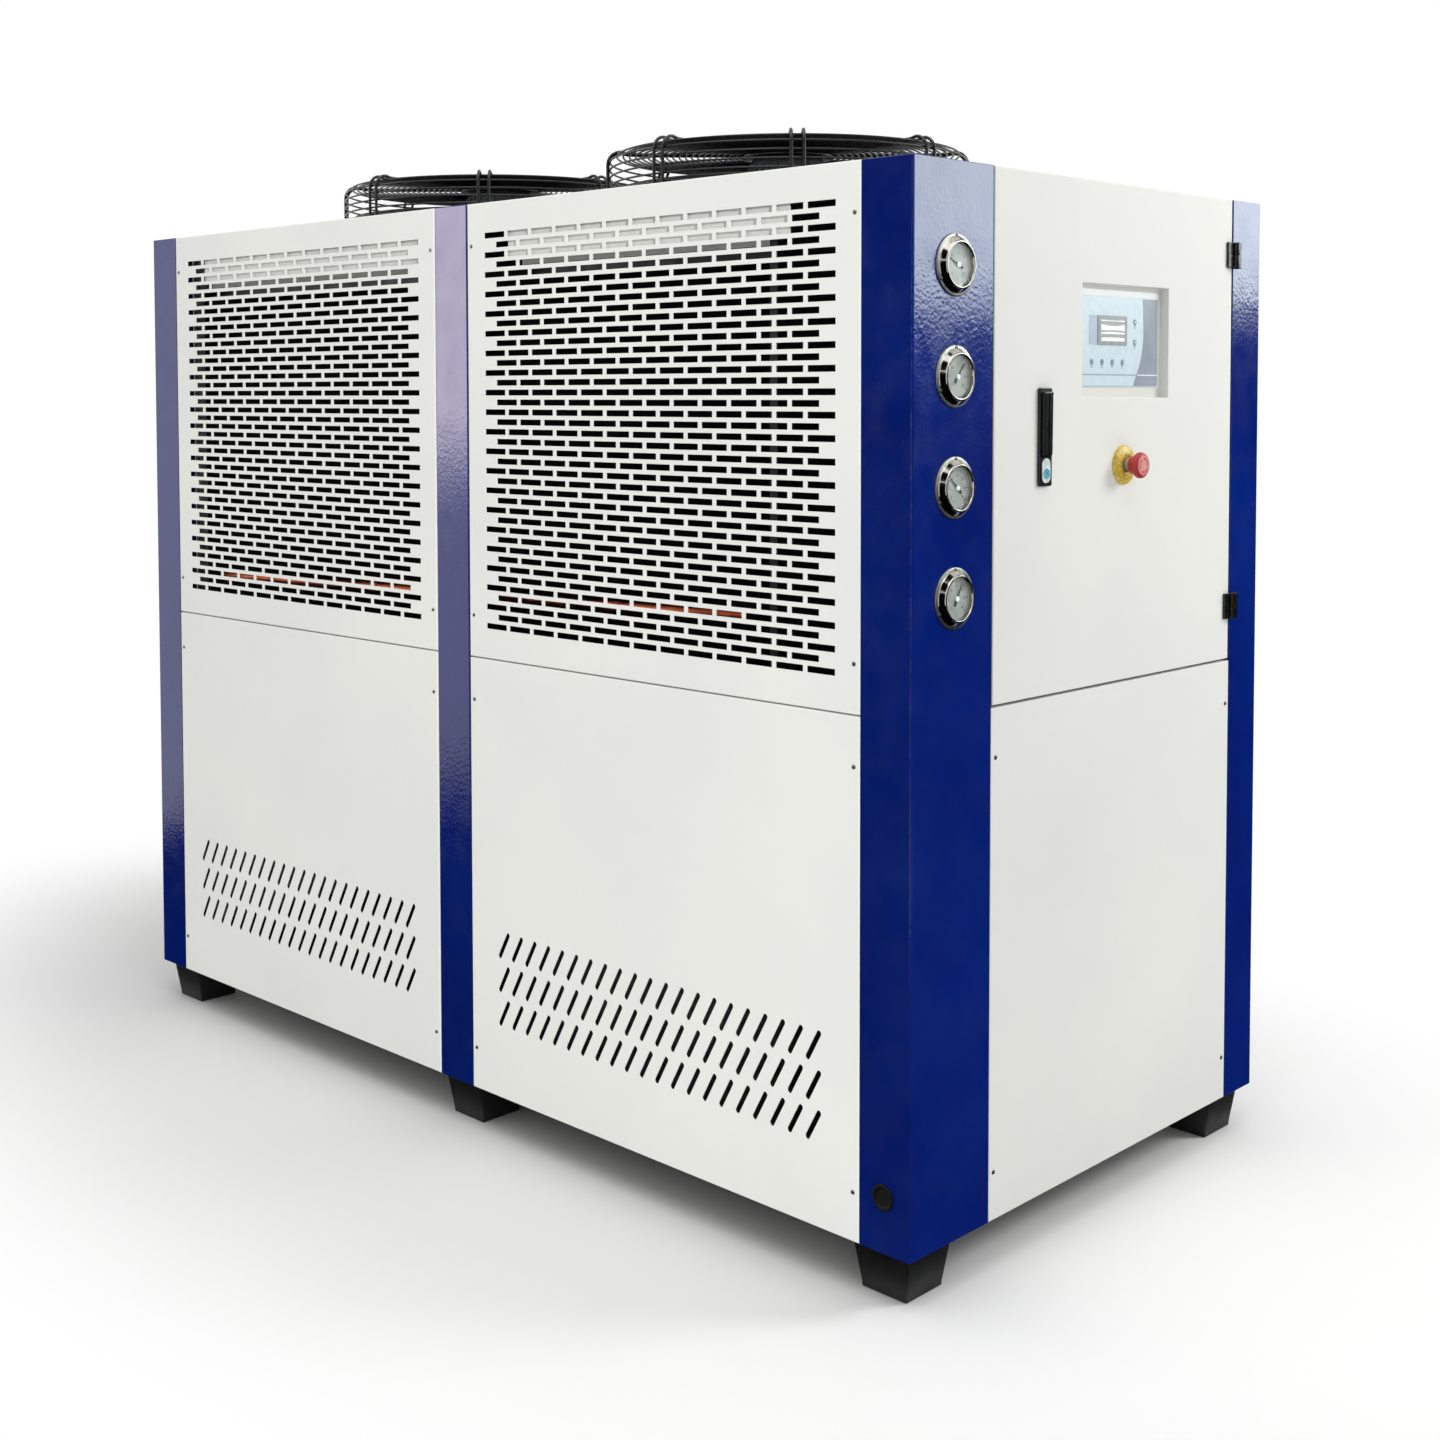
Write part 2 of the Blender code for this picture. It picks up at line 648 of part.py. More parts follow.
def build_fan_ring(side, centre):
    """A short turned duct with a flange that seats on the deck."""
    inner = RING_RADIUS
    outer = RING_RADIUS + RING_SHEET
    flange_bottom = DECK_TOP + SEAT_GAP
    flange_top = flange_bottom + RING_FLANGE_SHEET
    profile = [(outer, TOP + RING_RISE), (outer, flange_top), (RING_FLANGE_RADIUS, flange_top),
               (RING_FLANGE_RADIUS, flange_bottom), (outer, flange_bottom),
               (outer, TOP - RING_DROP), (inner, TOP - RING_DROP), (inner, TOP + RING_RISE)]
    shade_round(turned(f"fan_ring_{side}", profile, (centre.x, centre.y, 0.0), (0, 0, 1),
                       RING_STEPS, "black_paint"))


def wire_rings(name, centre, places):
    """Rings of square wire about one axis, at (radius, height) places."""
    half = GUARD_WIRE / 2
    shape = bmesh.new()
    for radius, height in places:
        corners = [(radius + half, height + half), (radius + half, height - half),
                   (radius - half, height - half), (radius - half, height + half)]
        points = [shape.verts.new((across, 0.0, up)) for across, up in corners]
        for first, second in zip(points, points[1:] + points[:1]):
            shape.edges.new((first, second))
    rings = add_object(name, mesh_of(shape))
    turn_about_z(rings, GUARD_RING_STEPS)
    rings.location = (centre.x, centre.y, 0.0)
    rings.rotation_euler = (0.0, 0.0, math.pi / GUARD_RING_STEPS)
    return rings


def guard_spoke(name, centre, angle):
    """A radial wire on top of the guard that bends down to the flange."""
    half = GUARD_WIRE / 2
    top = GUARD_TOP - half
    direction = Vector((math.cos(angle), math.sin(angle)))
    outer = GUARD_RADIUS
    bend = GUARD_CORNER * (1 - math.cos(math.radians(45.0)))
    profile = [(GUARD_HUB_RADIUS - GUARD_SPOKE_LAP, top), (outer - GUARD_CORNER, top),
               (outer - bend, top - bend), (outer, top - GUARD_CORNER), (outer, GUARD_FOOT_Z)]
    curve = bpy.data.curves.new(name, "CURVE")
    curve.dimensions = "3D"
    curve.bevel_depth = half * math.sqrt(2.0)
    curve.bevel_resolution = 0
    curve.use_fill_caps = True
    spline = curve.splines.new("POLY")
    spline.points.add(len(profile) - 1)
    for point, (radius, height) in zip(spline.points, profile):
        place = centre + direction * radius
        point.co = (place.x, place.y, height, 1.0)
    return curve_to_cutter(name, curve)


def curve_to_cutter(name, curve):
    """Turn a curve into a closed mesh with welded caps."""
    source = bpy.data.objects.new(name + "_curve", curve)
    cutters.objects.link(source)
    graph = bpy.context.evaluated_depsgraph_get()
    mesh = bpy.data.meshes.new_from_object(source.evaluated_get(graph))
    shape = bmesh.new()
    shape.from_mesh(mesh)
    bmesh.ops.remove_doubles(shape, verts=shape.verts, dist=0.00001)
    bmesh.ops.recalc_face_normals(shape, faces=shape.faces)
    shape.to_mesh(mesh)
    shape.free()
    piece = add_object(name, mesh)
    piece.matrix_world = source.matrix_world
    bpy.data.objects.remove(source, do_unlink=True)
    return piece


def build_fan_guard(side, centre):
    """Wire rings on bent spokes around a plate that holds the motor."""
    plate = cylinder(f"fan_guard_{side}",
                     (centre.x, centre.y, GUARD_TOP - GUARD_WIRE - GUARD_HUB_SHEET + SEAT_GAP),
                     (0, 0, 1), GUARD_HUB_SHEET, GUARD_HUB_RADIUS, MOTOR_STEPS, "black_paint")
    for index in range(GUARD_SPOKES):
        angle = math.tau * index / GUARD_SPOKES
        join(plate, guard_spoke(f"spoke_{side}_{index}", centre, angle))
    half = GUARD_WIRE / 2
    side_top = GUARD_TOP - GUARD_CORNER - half
    side_step = (side_top - GUARD_FOOT_Z) / (GUARD_SIDE_RINGS + 1)
    places = [(GUARD_RADIUS - half, GUARD_FOOT_Z + side_step * (index + 1))
              for index in range(GUARD_SIDE_RINGS)]
    outermost = GUARD_RADIUS - GUARD_CORNER - GUARD_WIRE
    top_height = GUARD_TOP - half - GUARD_WIRE * GUARD_WIRE_BITE
    top_step = (outermost - GUARD_HUB_RADIUS) / (GUARD_TOP_RINGS + 1)
    places += [(outermost - top_step * index, top_height)
               for index in range(GUARD_TOP_RINGS + 1)]
    join(plate, wire_rings(f"guard_rings_{side}", centre, places))
    shade_round(plate)


def build_fan_motor(side, centre):
    """The motor body that hangs below the guard's plate."""
    top = GUARD_TOP - GUARD_WIRE - GUARD_HUB_SHEET
    bottom = TOP + MOTOR_BOTTOM_RISE
    r = MOTOR_RADIUS
    edge = MOTOR_END_ROUND
    profile = [(0.0, top), (r - edge, top), (r, top - edge), (r, bottom + edge),
               (r - edge, bottom), (0.0, bottom)]
    shade_round(turned(f"fan_motor_{side}", profile, (centre.x, centre.y, 0.0), (0, 0, 1),
                       MOTOR_STEPS, "grey_cast_aluminium"))


def blade_mesh(centre, angle):
    """A twisted blade, lofted through stations from the hub to the tip."""
    def build(shape):
        rings = []
        root = ROTOR_HUB_RADIUS - BLADE_ROOT_SINK
        drop = TOP - ROTOR_TOP_DROP - ROTOR_HUB_HEIGHT / 2
        for station in range(BLADE_STATIONS):
            share = station / (BLADE_STATIONS - 1)
            radius = root + (ROTOR_TIP_RADIUS - root) * share
            width = BLADE_ROOT_WIDTH + (BLADE_TIP_WIDTH - BLADE_ROOT_WIDTH) * share
            pitch = BLADE_ROOT_PITCH + (BLADE_TIP_PITCH - BLADE_ROOT_PITCH) * share
            ring = []
            for along, up in ((-0.5, -0.5), (0.5, -0.5), (0.5, 0.5), (-0.5, 0.5)):
                across = along * width * math.cos(pitch) - up * BLADE_SHEET * math.sin(pitch)
                rise = along * width * math.sin(pitch) + up * BLADE_SHEET * math.cos(pitch)
                sweep = angle + across / radius
                place = centre + Vector((math.cos(sweep), math.sin(sweep))) * radius
                ring.append(shape.verts.new((place.x, place.y, drop + rise)))
            rings.append(ring)
        for first, second in zip(rings, rings[1:]):
            for index in range(4):
                following = (index + 1) % 4
                shape.faces.new((first[index], first[following], second[following],
                                 second[index]))
        shape.faces.new(rings[0])
        shape.faces.new(rings[-1])
    return mesh_from(build)


def build_fan_rotor(side, centre):
    """Hub, shaft and twisted blades, turning about the motor's axis."""
    hub_top = TOP - ROTOR_TOP_DROP
    profile = [(0.0, TOP + MOTOR_BOTTOM_RISE - PIN_GAP),
               (ROTOR_SHAFT_RADIUS, TOP + MOTOR_BOTTOM_RISE - PIN_GAP),
               (ROTOR_SHAFT_RADIUS, hub_top), (ROTOR_HUB_RADIUS, hub_top),
               (ROTOR_HUB_RADIUS, hub_top - ROTOR_HUB_HEIGHT),
               (0.0, hub_top - ROTOR_HUB_HEIGHT)]
    rotor = turned(f"fan_rotor_{side}", profile, (centre.x, centre.y, 0.0), (0, 0, 1),
                   MOTOR_STEPS, "black_plastic")
    for index in range(ROTOR_BLADES):
        angle = math.tau * index / ROTOR_BLADES
        join(rotor, add_object(f"blade_{side}_{index}", blade_mesh(centre, angle)))
    shade_round(rotor)


# Control end

def build_door():
    """The control door: a folded tray with a recessed pocket for the controller."""
    door = panel("control_door",
                 (RIGHT - PANEL_RETURN, FRONT + GAUGE_POST_WIDTH + DOOR_SEAM,
                  SEAM_Z - MIDDLE_SEAM / 2 + DOOR_SEAM),
                 (RIGHT, REAR - POST_WIDTH - DOOR_SEAM, TOP), (1, 0, 0))
    y0 = FRONT + WINDOW_FRONT_EDGE
    y1 = y0 + WINDOW_WIDTH
    z1 = TOP - WINDOW_TOP_DROP
    z0 = z1 - WINDOW_HEIGHT
    wall = PANEL_SHEET
    join(door, box("window_pocket", (RIGHT - WINDOW_DEPTH - wall, y0 - wall, z0 - wall),
                   (RIGHT - PANEL_SHEET / 2, y1 + wall, z1 + wall)))
    cut(door, box("window_opening", (RIGHT - WINDOW_DEPTH, y0, z0),
                  (RIGHT + CUT_MARGIN, y1, z1)))
    return door


def build_controller():
    """The controller's face plate with the raised frame of its display."""
    back = RIGHT - WINDOW_DEPTH + SEAT_GAP
    y0 = FRONT + WINDOW_FRONT_EDGE + (WINDOW_WIDTH - CONTROLLER_WIDTH) / 2
    y1 = y0 + CONTROLLER_WIDTH
    z1 = TOP - WINDOW_TOP_DROP - (WINDOW_HEIGHT - CONTROLLER_HEIGHT) / 2
    z0 = z1 - CONTROLLER_HEIGHT
    front = back + CONTROLLER_THICKNESS
    plate = box("controller", (back, y0, z0), (front, y1, z1), "grey_faceplate")
    join(plate, box("display_frame",
                    (front - JOIN_LAP, y0 + DISPLAY_FRONT_EDGE,
                     z1 - DISPLAY_TOP_DROP - DISPLAY_HEIGHT),
                    (front + DISPLAY_RISE, y0 + DISPLAY_FRONT_EDGE + DISPLAY_WIDTH,
                     z1 - DISPLAY_TOP_DROP)))
    return plate


def build_lock():
    """The lock's plate with its key barrel, and the lever that lifts off it."""
    x0 = RIGHT + SEAT_GAP
    x1 = x0 + LOCK_PLATE_THICKNESS
    y0 = FRONT + LOCK_FRONT_EDGE
    z0 = TOP - LOCK_TOP_DROP - LOCK_HEIGHT
    middle = y0 + LOCK_WIDTH / 2
    plate = box("lock_plate", (x0, y0, z0), (x1, y0 + LOCK_WIDTH, z0 + LOCK_HEIGHT),
                "black_plastic")
    join(plate, cylinder("key_barrel", (x1 - JOIN_LAP, middle, z0 + BARREL_RISE), (1, 0, 0),
                         BARREL_LENGTH + JOIN_LAP, BARREL_RADIUS, MOTOR_STEPS))
    half = LEVER_THICKNESS / 2
    pivot = Vector((x1 + PIN_GAP + half, middle, z0 + LOCK_HEIGHT - LEVER_TOP_DROP - half))
    knuckle = cylinder("lock_lever", (0, -LEVER_WIDTH / 2, 0), (0, 1, 0), LEVER_WIDTH, half,
                       LEVER_STEPS, "black_plastic")
    def build(shape):
        verts = add_cube(shape, (-half, -LEVER_WIDTH / 2, -LEVER_LENGTH),
                         (half, LEVER_WIDTH / 2, 0.0))
        for vert in verts:
            if vert.co.z < -LEVER_LENGTH / 2 and vert.co.x > 0:
                vert.co.x *= LEVER_TIP_TAPER
    grip = add_object("lever_grip", mesh_from(build))
    grip.location = pivot
    knuckle.location = pivot
    join(knuckle, grip)
    return shade_round(plate), shade_round(knuckle)


def build_emergency_stop():
    """A yellow collar on the door and the red mushroom button that slides in it."""
    y = FRONT + ESTOP_FRONT
    z = TOP - ESTOP_TOP_DROP
    bore = ESTOP_STEM_RADIUS + ESTOP_STEM_CLEARANCE
    thickness = ESTOP_RING_THICKNESS
    centre = Vector((RIGHT + SEAT_GAP, y, z))
    rim = ESTOP_RING_RADIUS
    profile = [(rim, thickness - ESTOP_RING_BEVEL_HEIGHT), (rim, 0.0), (bore, 0.0),
               (bore, thickness), (rim - ESTOP_RING_BEVEL, thickness)]
    collar = turned("estop_collar", profile, centre, (1, 0, 0), ESTOP_STEPS, "yellow_plastic")
    start = ESTOP_BOTTOM_GAP + ESTOP_TRAVEL
    head = ESTOP_REACH - SEAT_GAP
    shoulder = head - ESTOP_HEAD_HEIGHT
    r = ESTOP_HEAD_RADIUS
    profile = [(0.0, head), (r - ESTOP_HEAD_BEVEL, head - ESTOP_HEAD_CROWN),
               (r, head - ESTOP_HEAD_BEVEL_HEIGHT), (r, shoulder + ESTOP_HEAD_UNDERCUT),
               (r - ESTOP_HEAD_UNDERCUT, shoulder), (ESTOP_NECK_RADIUS, shoulder),
               (ESTOP_NECK_RADIUS, ESTOP_NECK_START), (ESTOP_STEM_RADIUS, ESTOP_NECK_START),
               (ESTOP_STEM_RADIUS, start), (0.0, start)]
    button = turned("estop_button", profile, centre, (1, 0, 0), ESTOP_STEPS, "red_plastic")
    return shade_round(collar), shade_round(button)


def hinge_half(name, z, facing, lower):
    """Half of a lift-off hinge: a leaf, a strap and a knuckle on the axis."""
    x0 = RIGHT + SEAT_GAP
    x1 = x0 + HINGE_LEAF_THICKNESS
    clear = HINGE_KNUCKLE_RADIUS + PIN_GAP
    edge = HINGE_Y + facing * clear
    far = HINGE_Y + facing * (clear + HINGE_LEAF_WIDTH)
    leaf = box(name, (x0, min(edge, far), z - HINGE_HEIGHT / 2),
               (x1, max(edge, far), z + HINGE_HEIGHT / 2), "black_plastic")
    if lower:
        z0 = z - HINGE_HEIGHT / 2
        z1 = z - PIN_GAP / 2
    else:
        z0 = z + PIN_GAP / 2
        z1 = z + HINGE_HEIGHT / 2
    inner = edge + facing * JOIN_LAP
    join(leaf, box(name + "_strap", (x0, min(HINGE_Y, inner), z0),
                   (x1, max(HINGE_Y, inner), z1)))
    join(leaf, cylinder(name + "_knuckle", (HINGE_X, HINGE_Y, z0), (0, 0, 1), z1 - z0,
                        HINGE_KNUCKLE_RADIUS, HINGE_STEPS))
    return shade_round(leaf)


def build_gauges(post):
    """Four flanged pressure gauges through holes in the end of the gauge post."""
    y = FRONT + GAUGE_FRONT_EDGE
    face = RIGHT
    f = GAUGE_FLANGE_RADIUS
    b = GAUGE_BEZEL_RADIUS
    top = GAUGE_BEZEL_HEIGHT
    profile = [(0.0, top - GAUGE_DIAL_DEPTH), (b - GAUGE_BEZEL_WALL, top - GAUGE_DIAL_DEPTH),
               (b - GAUGE_BEZEL_WALL, top), (b, top), (b, GAUGE_FLANGE_THICKNESS),
               (f, GAUGE_FLANGE_THICKNESS), (f, SEAT_GAP), (GAUGE_BODY_RADIUS, SEAT_GAP),
               (GAUGE_BODY_RADIUS, -GAUGE_BODY_DEPTH), (0.0, -GAUGE_BODY_DEPTH)]
    for index in range(GAUGE_COUNT):
        z = TOP - GAUGE_TOP_DROP - index * GAUGE_PITCH
        shade_round(turned(f"pressure_gauge_{index + 1}", profile, (face, y, z), (1, 0, 0),
                           GAUGE_STEPS, "chrome"))
        cut(post, cylinder(f"gauge_hole_{index + 1}", (face - POST_SHEET - CUT_MARGIN, y, z),
                           (1, 0, 0), POST_SHEET + 2 * CUT_MARGIN,
                           hole_radius(GAUGE_BODY_RADIUS, GAUGE_STEPS), GAUGE_STEPS))


def build_grommet(post):
    """A blind rubber grommet near the foot of the gauge post."""
    x = RIGHT - GROMMET_EDGE
    z = BOTTOM + GROMMET_RISE
    proud = GROMMET_PROUD
    r = GROMMET_RADIUS
    membrane = proud - GROMMET_MEMBRANE_DEPTH
    profile = [(0.0, membrane), (r - GROMMET_LIP, membrane), (r - GROMMET_LIP, proud),
               (r, proud), (r, SEAT_GAP),
               (GROMMET_BODY_RADIUS, SEAT_GAP), (GROMMET_BODY_RADIUS, -GROMMET_BODY_DEPTH),
               (0.0, -GROMMET_BODY_DEPTH)]
    shade_round(turned("cable_grommet", profile, (x, FRONT, z), (0, -1, 0), GAUGE_STEPS,
                       "black_rubber"))
    cut(post, cylinder("grommet_hole", (x, FRONT - CUT_MARGIN, z), (0, 1, 0),
                       POST_SHEET + 2 * CUT_MARGIN,
                       hole_radius(GROMMET_BODY_RADIUS, GAUGE_STEPS), GAUGE_STEPS))


clear_scene()
parts = new_collection(COLLECTION_NAME)
cutters = new_collection(CUTTER_COLLECTION_NAME)

build_feet()
posts = build_posts()
build_base_tray()
build_shelf()
build_bulkhead()
build_side_panels()
build_end_panels()
build_deck()
build_coils()
build_liquid_line()
for fan_side, fan_centre in FAN_CENTRES.items():
    build_fan_ring(fan_side, fan_centre)
    build_fan_guard(fan_side, fan_centre)
    build_fan_motor(fan_side, fan_centre)
    build_fan_rotor(fan_side, fan_centre)
build_gauges(posts["post_front_right"])
build_grommet(posts["post_front_right"])

door_axis = axis_empty("door_axis", (HINGE_X, HINGE_Y, HINGE_HEIGHTS["lower"]))
on_door = [build_door(), build_controller(), *build_lock(), *build_emergency_stop()]
for where, height in HINGE_HEIGHTS.items():
    on_door.append(hinge_half(f"hinge_{where}_door", height, -1.0, False))
    hinge_half(f"hinge_{where}_post", height, 1.0, True)
for item in on_door:
    carried_by(item, door_axis)
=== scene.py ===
# %% [markdown]
# # Air cooled water chiller, the looks
#
# The machine is a powder coated sheet metal cabinet on six feet. It draws air through
# slotted panels and two condenser coils, and two axial fans on the roof blow it out.
# The sizes come from the imported model, the frame, and every piece here sits on it.
# We load the frame first.

# %% Load the frame
import math

import bmesh
import bpy
from mathutils import Matrix, Vector


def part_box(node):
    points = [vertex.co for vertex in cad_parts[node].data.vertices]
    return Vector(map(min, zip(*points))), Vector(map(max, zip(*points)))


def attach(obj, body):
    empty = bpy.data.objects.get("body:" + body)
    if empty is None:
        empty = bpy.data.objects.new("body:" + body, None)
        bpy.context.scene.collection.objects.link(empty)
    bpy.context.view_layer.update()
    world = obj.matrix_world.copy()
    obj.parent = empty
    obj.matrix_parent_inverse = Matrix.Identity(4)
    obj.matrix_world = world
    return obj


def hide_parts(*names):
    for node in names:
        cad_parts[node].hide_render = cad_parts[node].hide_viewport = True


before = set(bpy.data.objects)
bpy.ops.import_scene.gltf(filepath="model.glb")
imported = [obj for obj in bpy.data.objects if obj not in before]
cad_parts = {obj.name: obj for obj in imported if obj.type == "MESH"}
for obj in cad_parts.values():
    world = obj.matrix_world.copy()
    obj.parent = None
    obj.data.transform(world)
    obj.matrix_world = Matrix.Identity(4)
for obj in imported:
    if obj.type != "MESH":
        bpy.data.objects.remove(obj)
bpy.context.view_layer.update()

# %% [markdown]
# ## The camera
#
# The machine was photographed from its front right corner, a little below the top of
# the cabinet, with the lens shifted down so that upright edges stay nearly upright.
# Place, yaw, pitch and roll are real values in metres and degrees. We turn them into
# the camera's own axes, because a roll on top of a pitch is easy to get wrong by hand.

# %% Camera
CAMERA_PLACE = Vector((2.5268, -2.4313, 1.2544))
CAMERA_YAW = math.radians(134.189)
CAMERA_PITCH = math.radians(-2.612)
CAMERA_ROLL = math.radians(-0.071)
LENS_MM = 46.783
SHIFT_DOWN = 1 / 6


def camera_rotation(yaw, pitch, roll):
    """Axes of a camera that looks along its own -Z, as a rotation matrix."""
    forward = Vector((math.cos(pitch) * math.cos(yaw), math.cos(pitch) * math.sin(yaw),
                      math.sin(pitch)))
    level = Vector((math.sin(yaw), -math.cos(yaw), 0.0))
    above = level.cross(forward)
    right = math.cos(roll) * level + math.sin(roll) * above
    up = math.cos(roll) * above - math.sin(roll) * level
    return Matrix((right, up, -forward)).transposed()


lens = bpy.data.cameras.new("camera")
lens.lens = LENS_MM
lens.sensor_width = 36.0
lens.shift_y = -SHIFT_DOWN
camera = bpy.data.objects.new("camera", lens)
camera.matrix_world = (Matrix.Translation(CAMERA_PLACE)
                       @ camera_rotation(CAMERA_YAW, CAMERA_PITCH, CAMERA_ROLL).to_4x4())
bpy.context.scene.collection.objects.link(camera)
bpy.context.scene.camera = camera
bpy.context.scene.view_settings.view_transform = "Standard"
print("camera at", tuple(round(value, 3) for value in CAMERA_PLACE))

# %% [markdown]
# ## Colours and nodes
#
# Colours are written as hex values, as a picker shows them, and the shaders work in
# linear light, so one function converts them. A second function adds a shader node with
# its settings and links. Pattern scales are worked out from a real size in millimetres.

# %% Helpers for materials
def linear(colour):
    """A linear RGBA colour from a hex value such as '#e1e2db'."""
    values = [int(colour[place:place + 2], 16) / 255 for place in (1, 3, 5)]
    return (*(v / 12.92 if v <= 0.04045 else ((v + 0.055) / 1.055) ** 2.4 for v in values),
            1.0)


def per_mm(size):
    """The texture scale at which one feature is this many millimetres wide."""
    return 1000.0 / size


def add_node(tree, kind, inputs=None, stops=None, **settings):
    """Add a node. Inputs are values or output sockets, and stops colour a ramp."""
    node = tree.nodes.new(kind)
    for name, value in settings.items():
        setattr(node, name, value)
    for name, value in (inputs or {}).items():
        if isinstance(value, bpy.types.NodeSocket):
            tree.links.new(value, node.inputs[name])
        else:
            node.inputs[name].default_value = value
    for index, (place, colour) in enumerate(stops or []):
        elements = node.color_ramp.elements
        element = elements[index] if index < 2 else elements.new(place)
        element.position = place
        element.color = linear(colour)
    return node


def new_finish(name, roughness, metallic=0.0, **sockets):
    """A material with its Principled shader, its tree and its object coordinates."""
    made = bpy.data.materials.new(name)
    made.use_nodes = True
    tree = made.node_tree
    shader = tree.nodes["Principled BSDF"]
    shader.inputs["Roughness"].default_value = roughness
    shader.inputs["Metallic"].default_value = metallic
    for socket, value in sockets.items():
        shader.inputs[socket.replace("_", " ")].default_value = value
    place = add_node(tree, "ShaderNodeTexCoord").outputs["Object"]
    return made, tree, shader, place


def mottled(tree, place, size_mm, stops, detail=3.0):
    """A colour that wanders between stops in patches of about this size."""
    noise = add_node(tree, "ShaderNodeTexNoise",
                     {"Vector": place, "Scale": per_mm(size_mm), "Detail": detail})
    return add_node(tree, "ShaderNodeValToRGB", {"Fac": noise.outputs["Fac"]},
                    stops=stops).outputs["Color"]


def grained(tree, shader, place, size_mm, height_mm, strength=1.0, detail=2.0):
    """Bump the shader with rounded grains of this size and height."""
    noise = add_node(tree, "ShaderNodeTexNoise",
                     {"Vector": place, "Scale": per_mm(size_mm), "Detail": detail})
    bump = add_node(tree, "ShaderNodeBump",
                    {"Height": noise.outputs["Fac"], "Strength": strength,
                     "Distance": height_mm / 1000.0})
    tree.links.new(bump.outputs["Normal"], shader.inputs["Normal"])
    return bump


def worn_roughness(tree, shader, place, size_mm, low, high):
    """Let the roughness wander between two values, as handling and dust make it."""
    noise = add_node(tree, "ShaderNodeTexNoise",
                     {"Vector": place, "Scale": per_mm(size_mm), "Detail": 4.0})
    spread = add_node(tree, "ShaderNodeMapRange",
                      {"Value": noise.outputs["Fac"], "From Min": 0.3, "From Max": 0.7,
                       "To Min": low, "To Max": high})
    tree.links.new(spread.outputs["Result"], shader.inputs["Roughness"])


WHITE = linear("#ffffff")
print("a mid grey in linear light", round(linear("#808080")[0], 3))

# %% [markdown]
# ## Powder coats
#
# The panels are steel sheet with a white polyester powder coat, sprayed dry and baked.
# It leaves a fine orange peel that blurs reflections. The real peel is about 1 mm across,
# so it is drawn 2.5 mm across here to show in the render. The posts have a glossy blue
# coat of the hammered kind. Its dimples are shallow, about 6 mm across and a fifth of a
# millimetre deep, so a lamp's reflection stays bright but breaks into flakes at its edge,
# and the rest of the blue stays deep. The feet have a plain black coat. Most finishes are
# two close colours, a wandering shine and a grain, so one function makes them.

# %% White, blue and black powder coat
def coat(name, patch_mm, stops, shine=None, grain=None, roughness=0.5, metallic=0.0, **sockets):
    """A finish of close colours in patches, a wandering shine and a grain."""
    made, tree, shader, place = new_finish(name, roughness, metallic, **sockets)
    tree.links.new(mottled(tree, place, patch_mm, stops), shader.inputs["Base Color"])
    if shine:
        worn_roughness(tree, shader, place, *shine)
    if grain:
        grained(tree, shader, place, *grain)
    return made


def blue_coat():
    made, tree, shader, place = new_finish("blue_hammered_powder_coat", 0.20,
                                           Specular_IOR_Level=0.80)
    tree.links.new(mottled(tree, place, 260.0, [(0.30, "#00176c"), (0.70, "#02237c")]),
                   shader.inputs["Base Color"])
    worn_roughness(tree, shader, place, 45.0, 0.12, 0.22)
    bump = grained(tree, shader, place, 6.5, 0.20, 1.0, 3.0)
    dimples = add_node(tree, "ShaderNodeTexVoronoi",
                       {"Vector": place, "Scale": per_mm(5.5), "Smoothness": 0.8},
                       feature="SMOOTH_F1")
    second = add_node(tree, "ShaderNodeBump",
                      {"Height": dimples.outputs["Distance"], "Strength": 1.0,
                       "Distance": 0.00015, "Normal": bump.outputs["Normal"]})
    tree.links.new(second.outputs["Normal"], shader.inputs["Normal"])
    return made


WHITE_COAT = coat("white_polyester_powder_coat", 420.0, [(0.30, "#dddeda"), (0.70, "#e4e4df")],
                  (90.0, 0.46, 0.58), (2.5, 0.08, 0.5), Specular_IOR_Level=0.05)
BLUE_COAT = blue_coat()
BLACK_COAT_AND_SHADE = coat("black_powder_coat_and_painted_shade", 60.0, [(0.30, "#050606"), (0.70, "#141516")],
                  (30.0, 0.38, 0.55), (1.6, 0.05, 0.6))
print("powder coats", WHITE_COAT.name, BLUE_COAT.name, BLACK_COAT_AND_SHADE.name)

# %% [markdown]
# ## Bare and plated metal
#
# Galvanised sheet shows a patchwork of zinc crystals, the spangle, about 12 mm across:
# a Voronoi texture gives each crystal its own grey and its own shine. The coil's fins are
# aluminium, drawn near black as painted shade for the dark depth of the coil behind the slots.
# The liquid line is drawn copper, browned by air and by brazing. Screws are zinc plated. A
# gauge has a polished bezel, which mirrors the room in dark and bright bands, on a satin
# flange. The motor is cast aluminium, painted grey.

# %% Metals
def galvanised():
    made, tree, shader, place = new_finish("galvanised_steel", 0.40, 1.0)
    spangle = add_node(tree, "ShaderNodeTexVoronoi", {"Vector": place, "Scale": per_mm(12.0)})
    grey = add_node(tree, "ShaderNodeValToRGB", {"Fac": spangle.outputs["Color"]},
                    stops=[(0.2, "#8d9092"), (0.8, "#b9bcbd")])
    tree.links.new(grey.outputs["Color"], shader.inputs["Base Color"])
    worn_roughness(tree, shader, place, 15.0, 0.32, 0.52)
    return made


def pressed_steel(name, dark, pale, low, high):
    """Stainless steel as it comes from the press, satin or polished."""
    return coat(name, 8.0, [(0.30, dark), (0.70, pale)], (5.0, low, high), metallic=1.0)


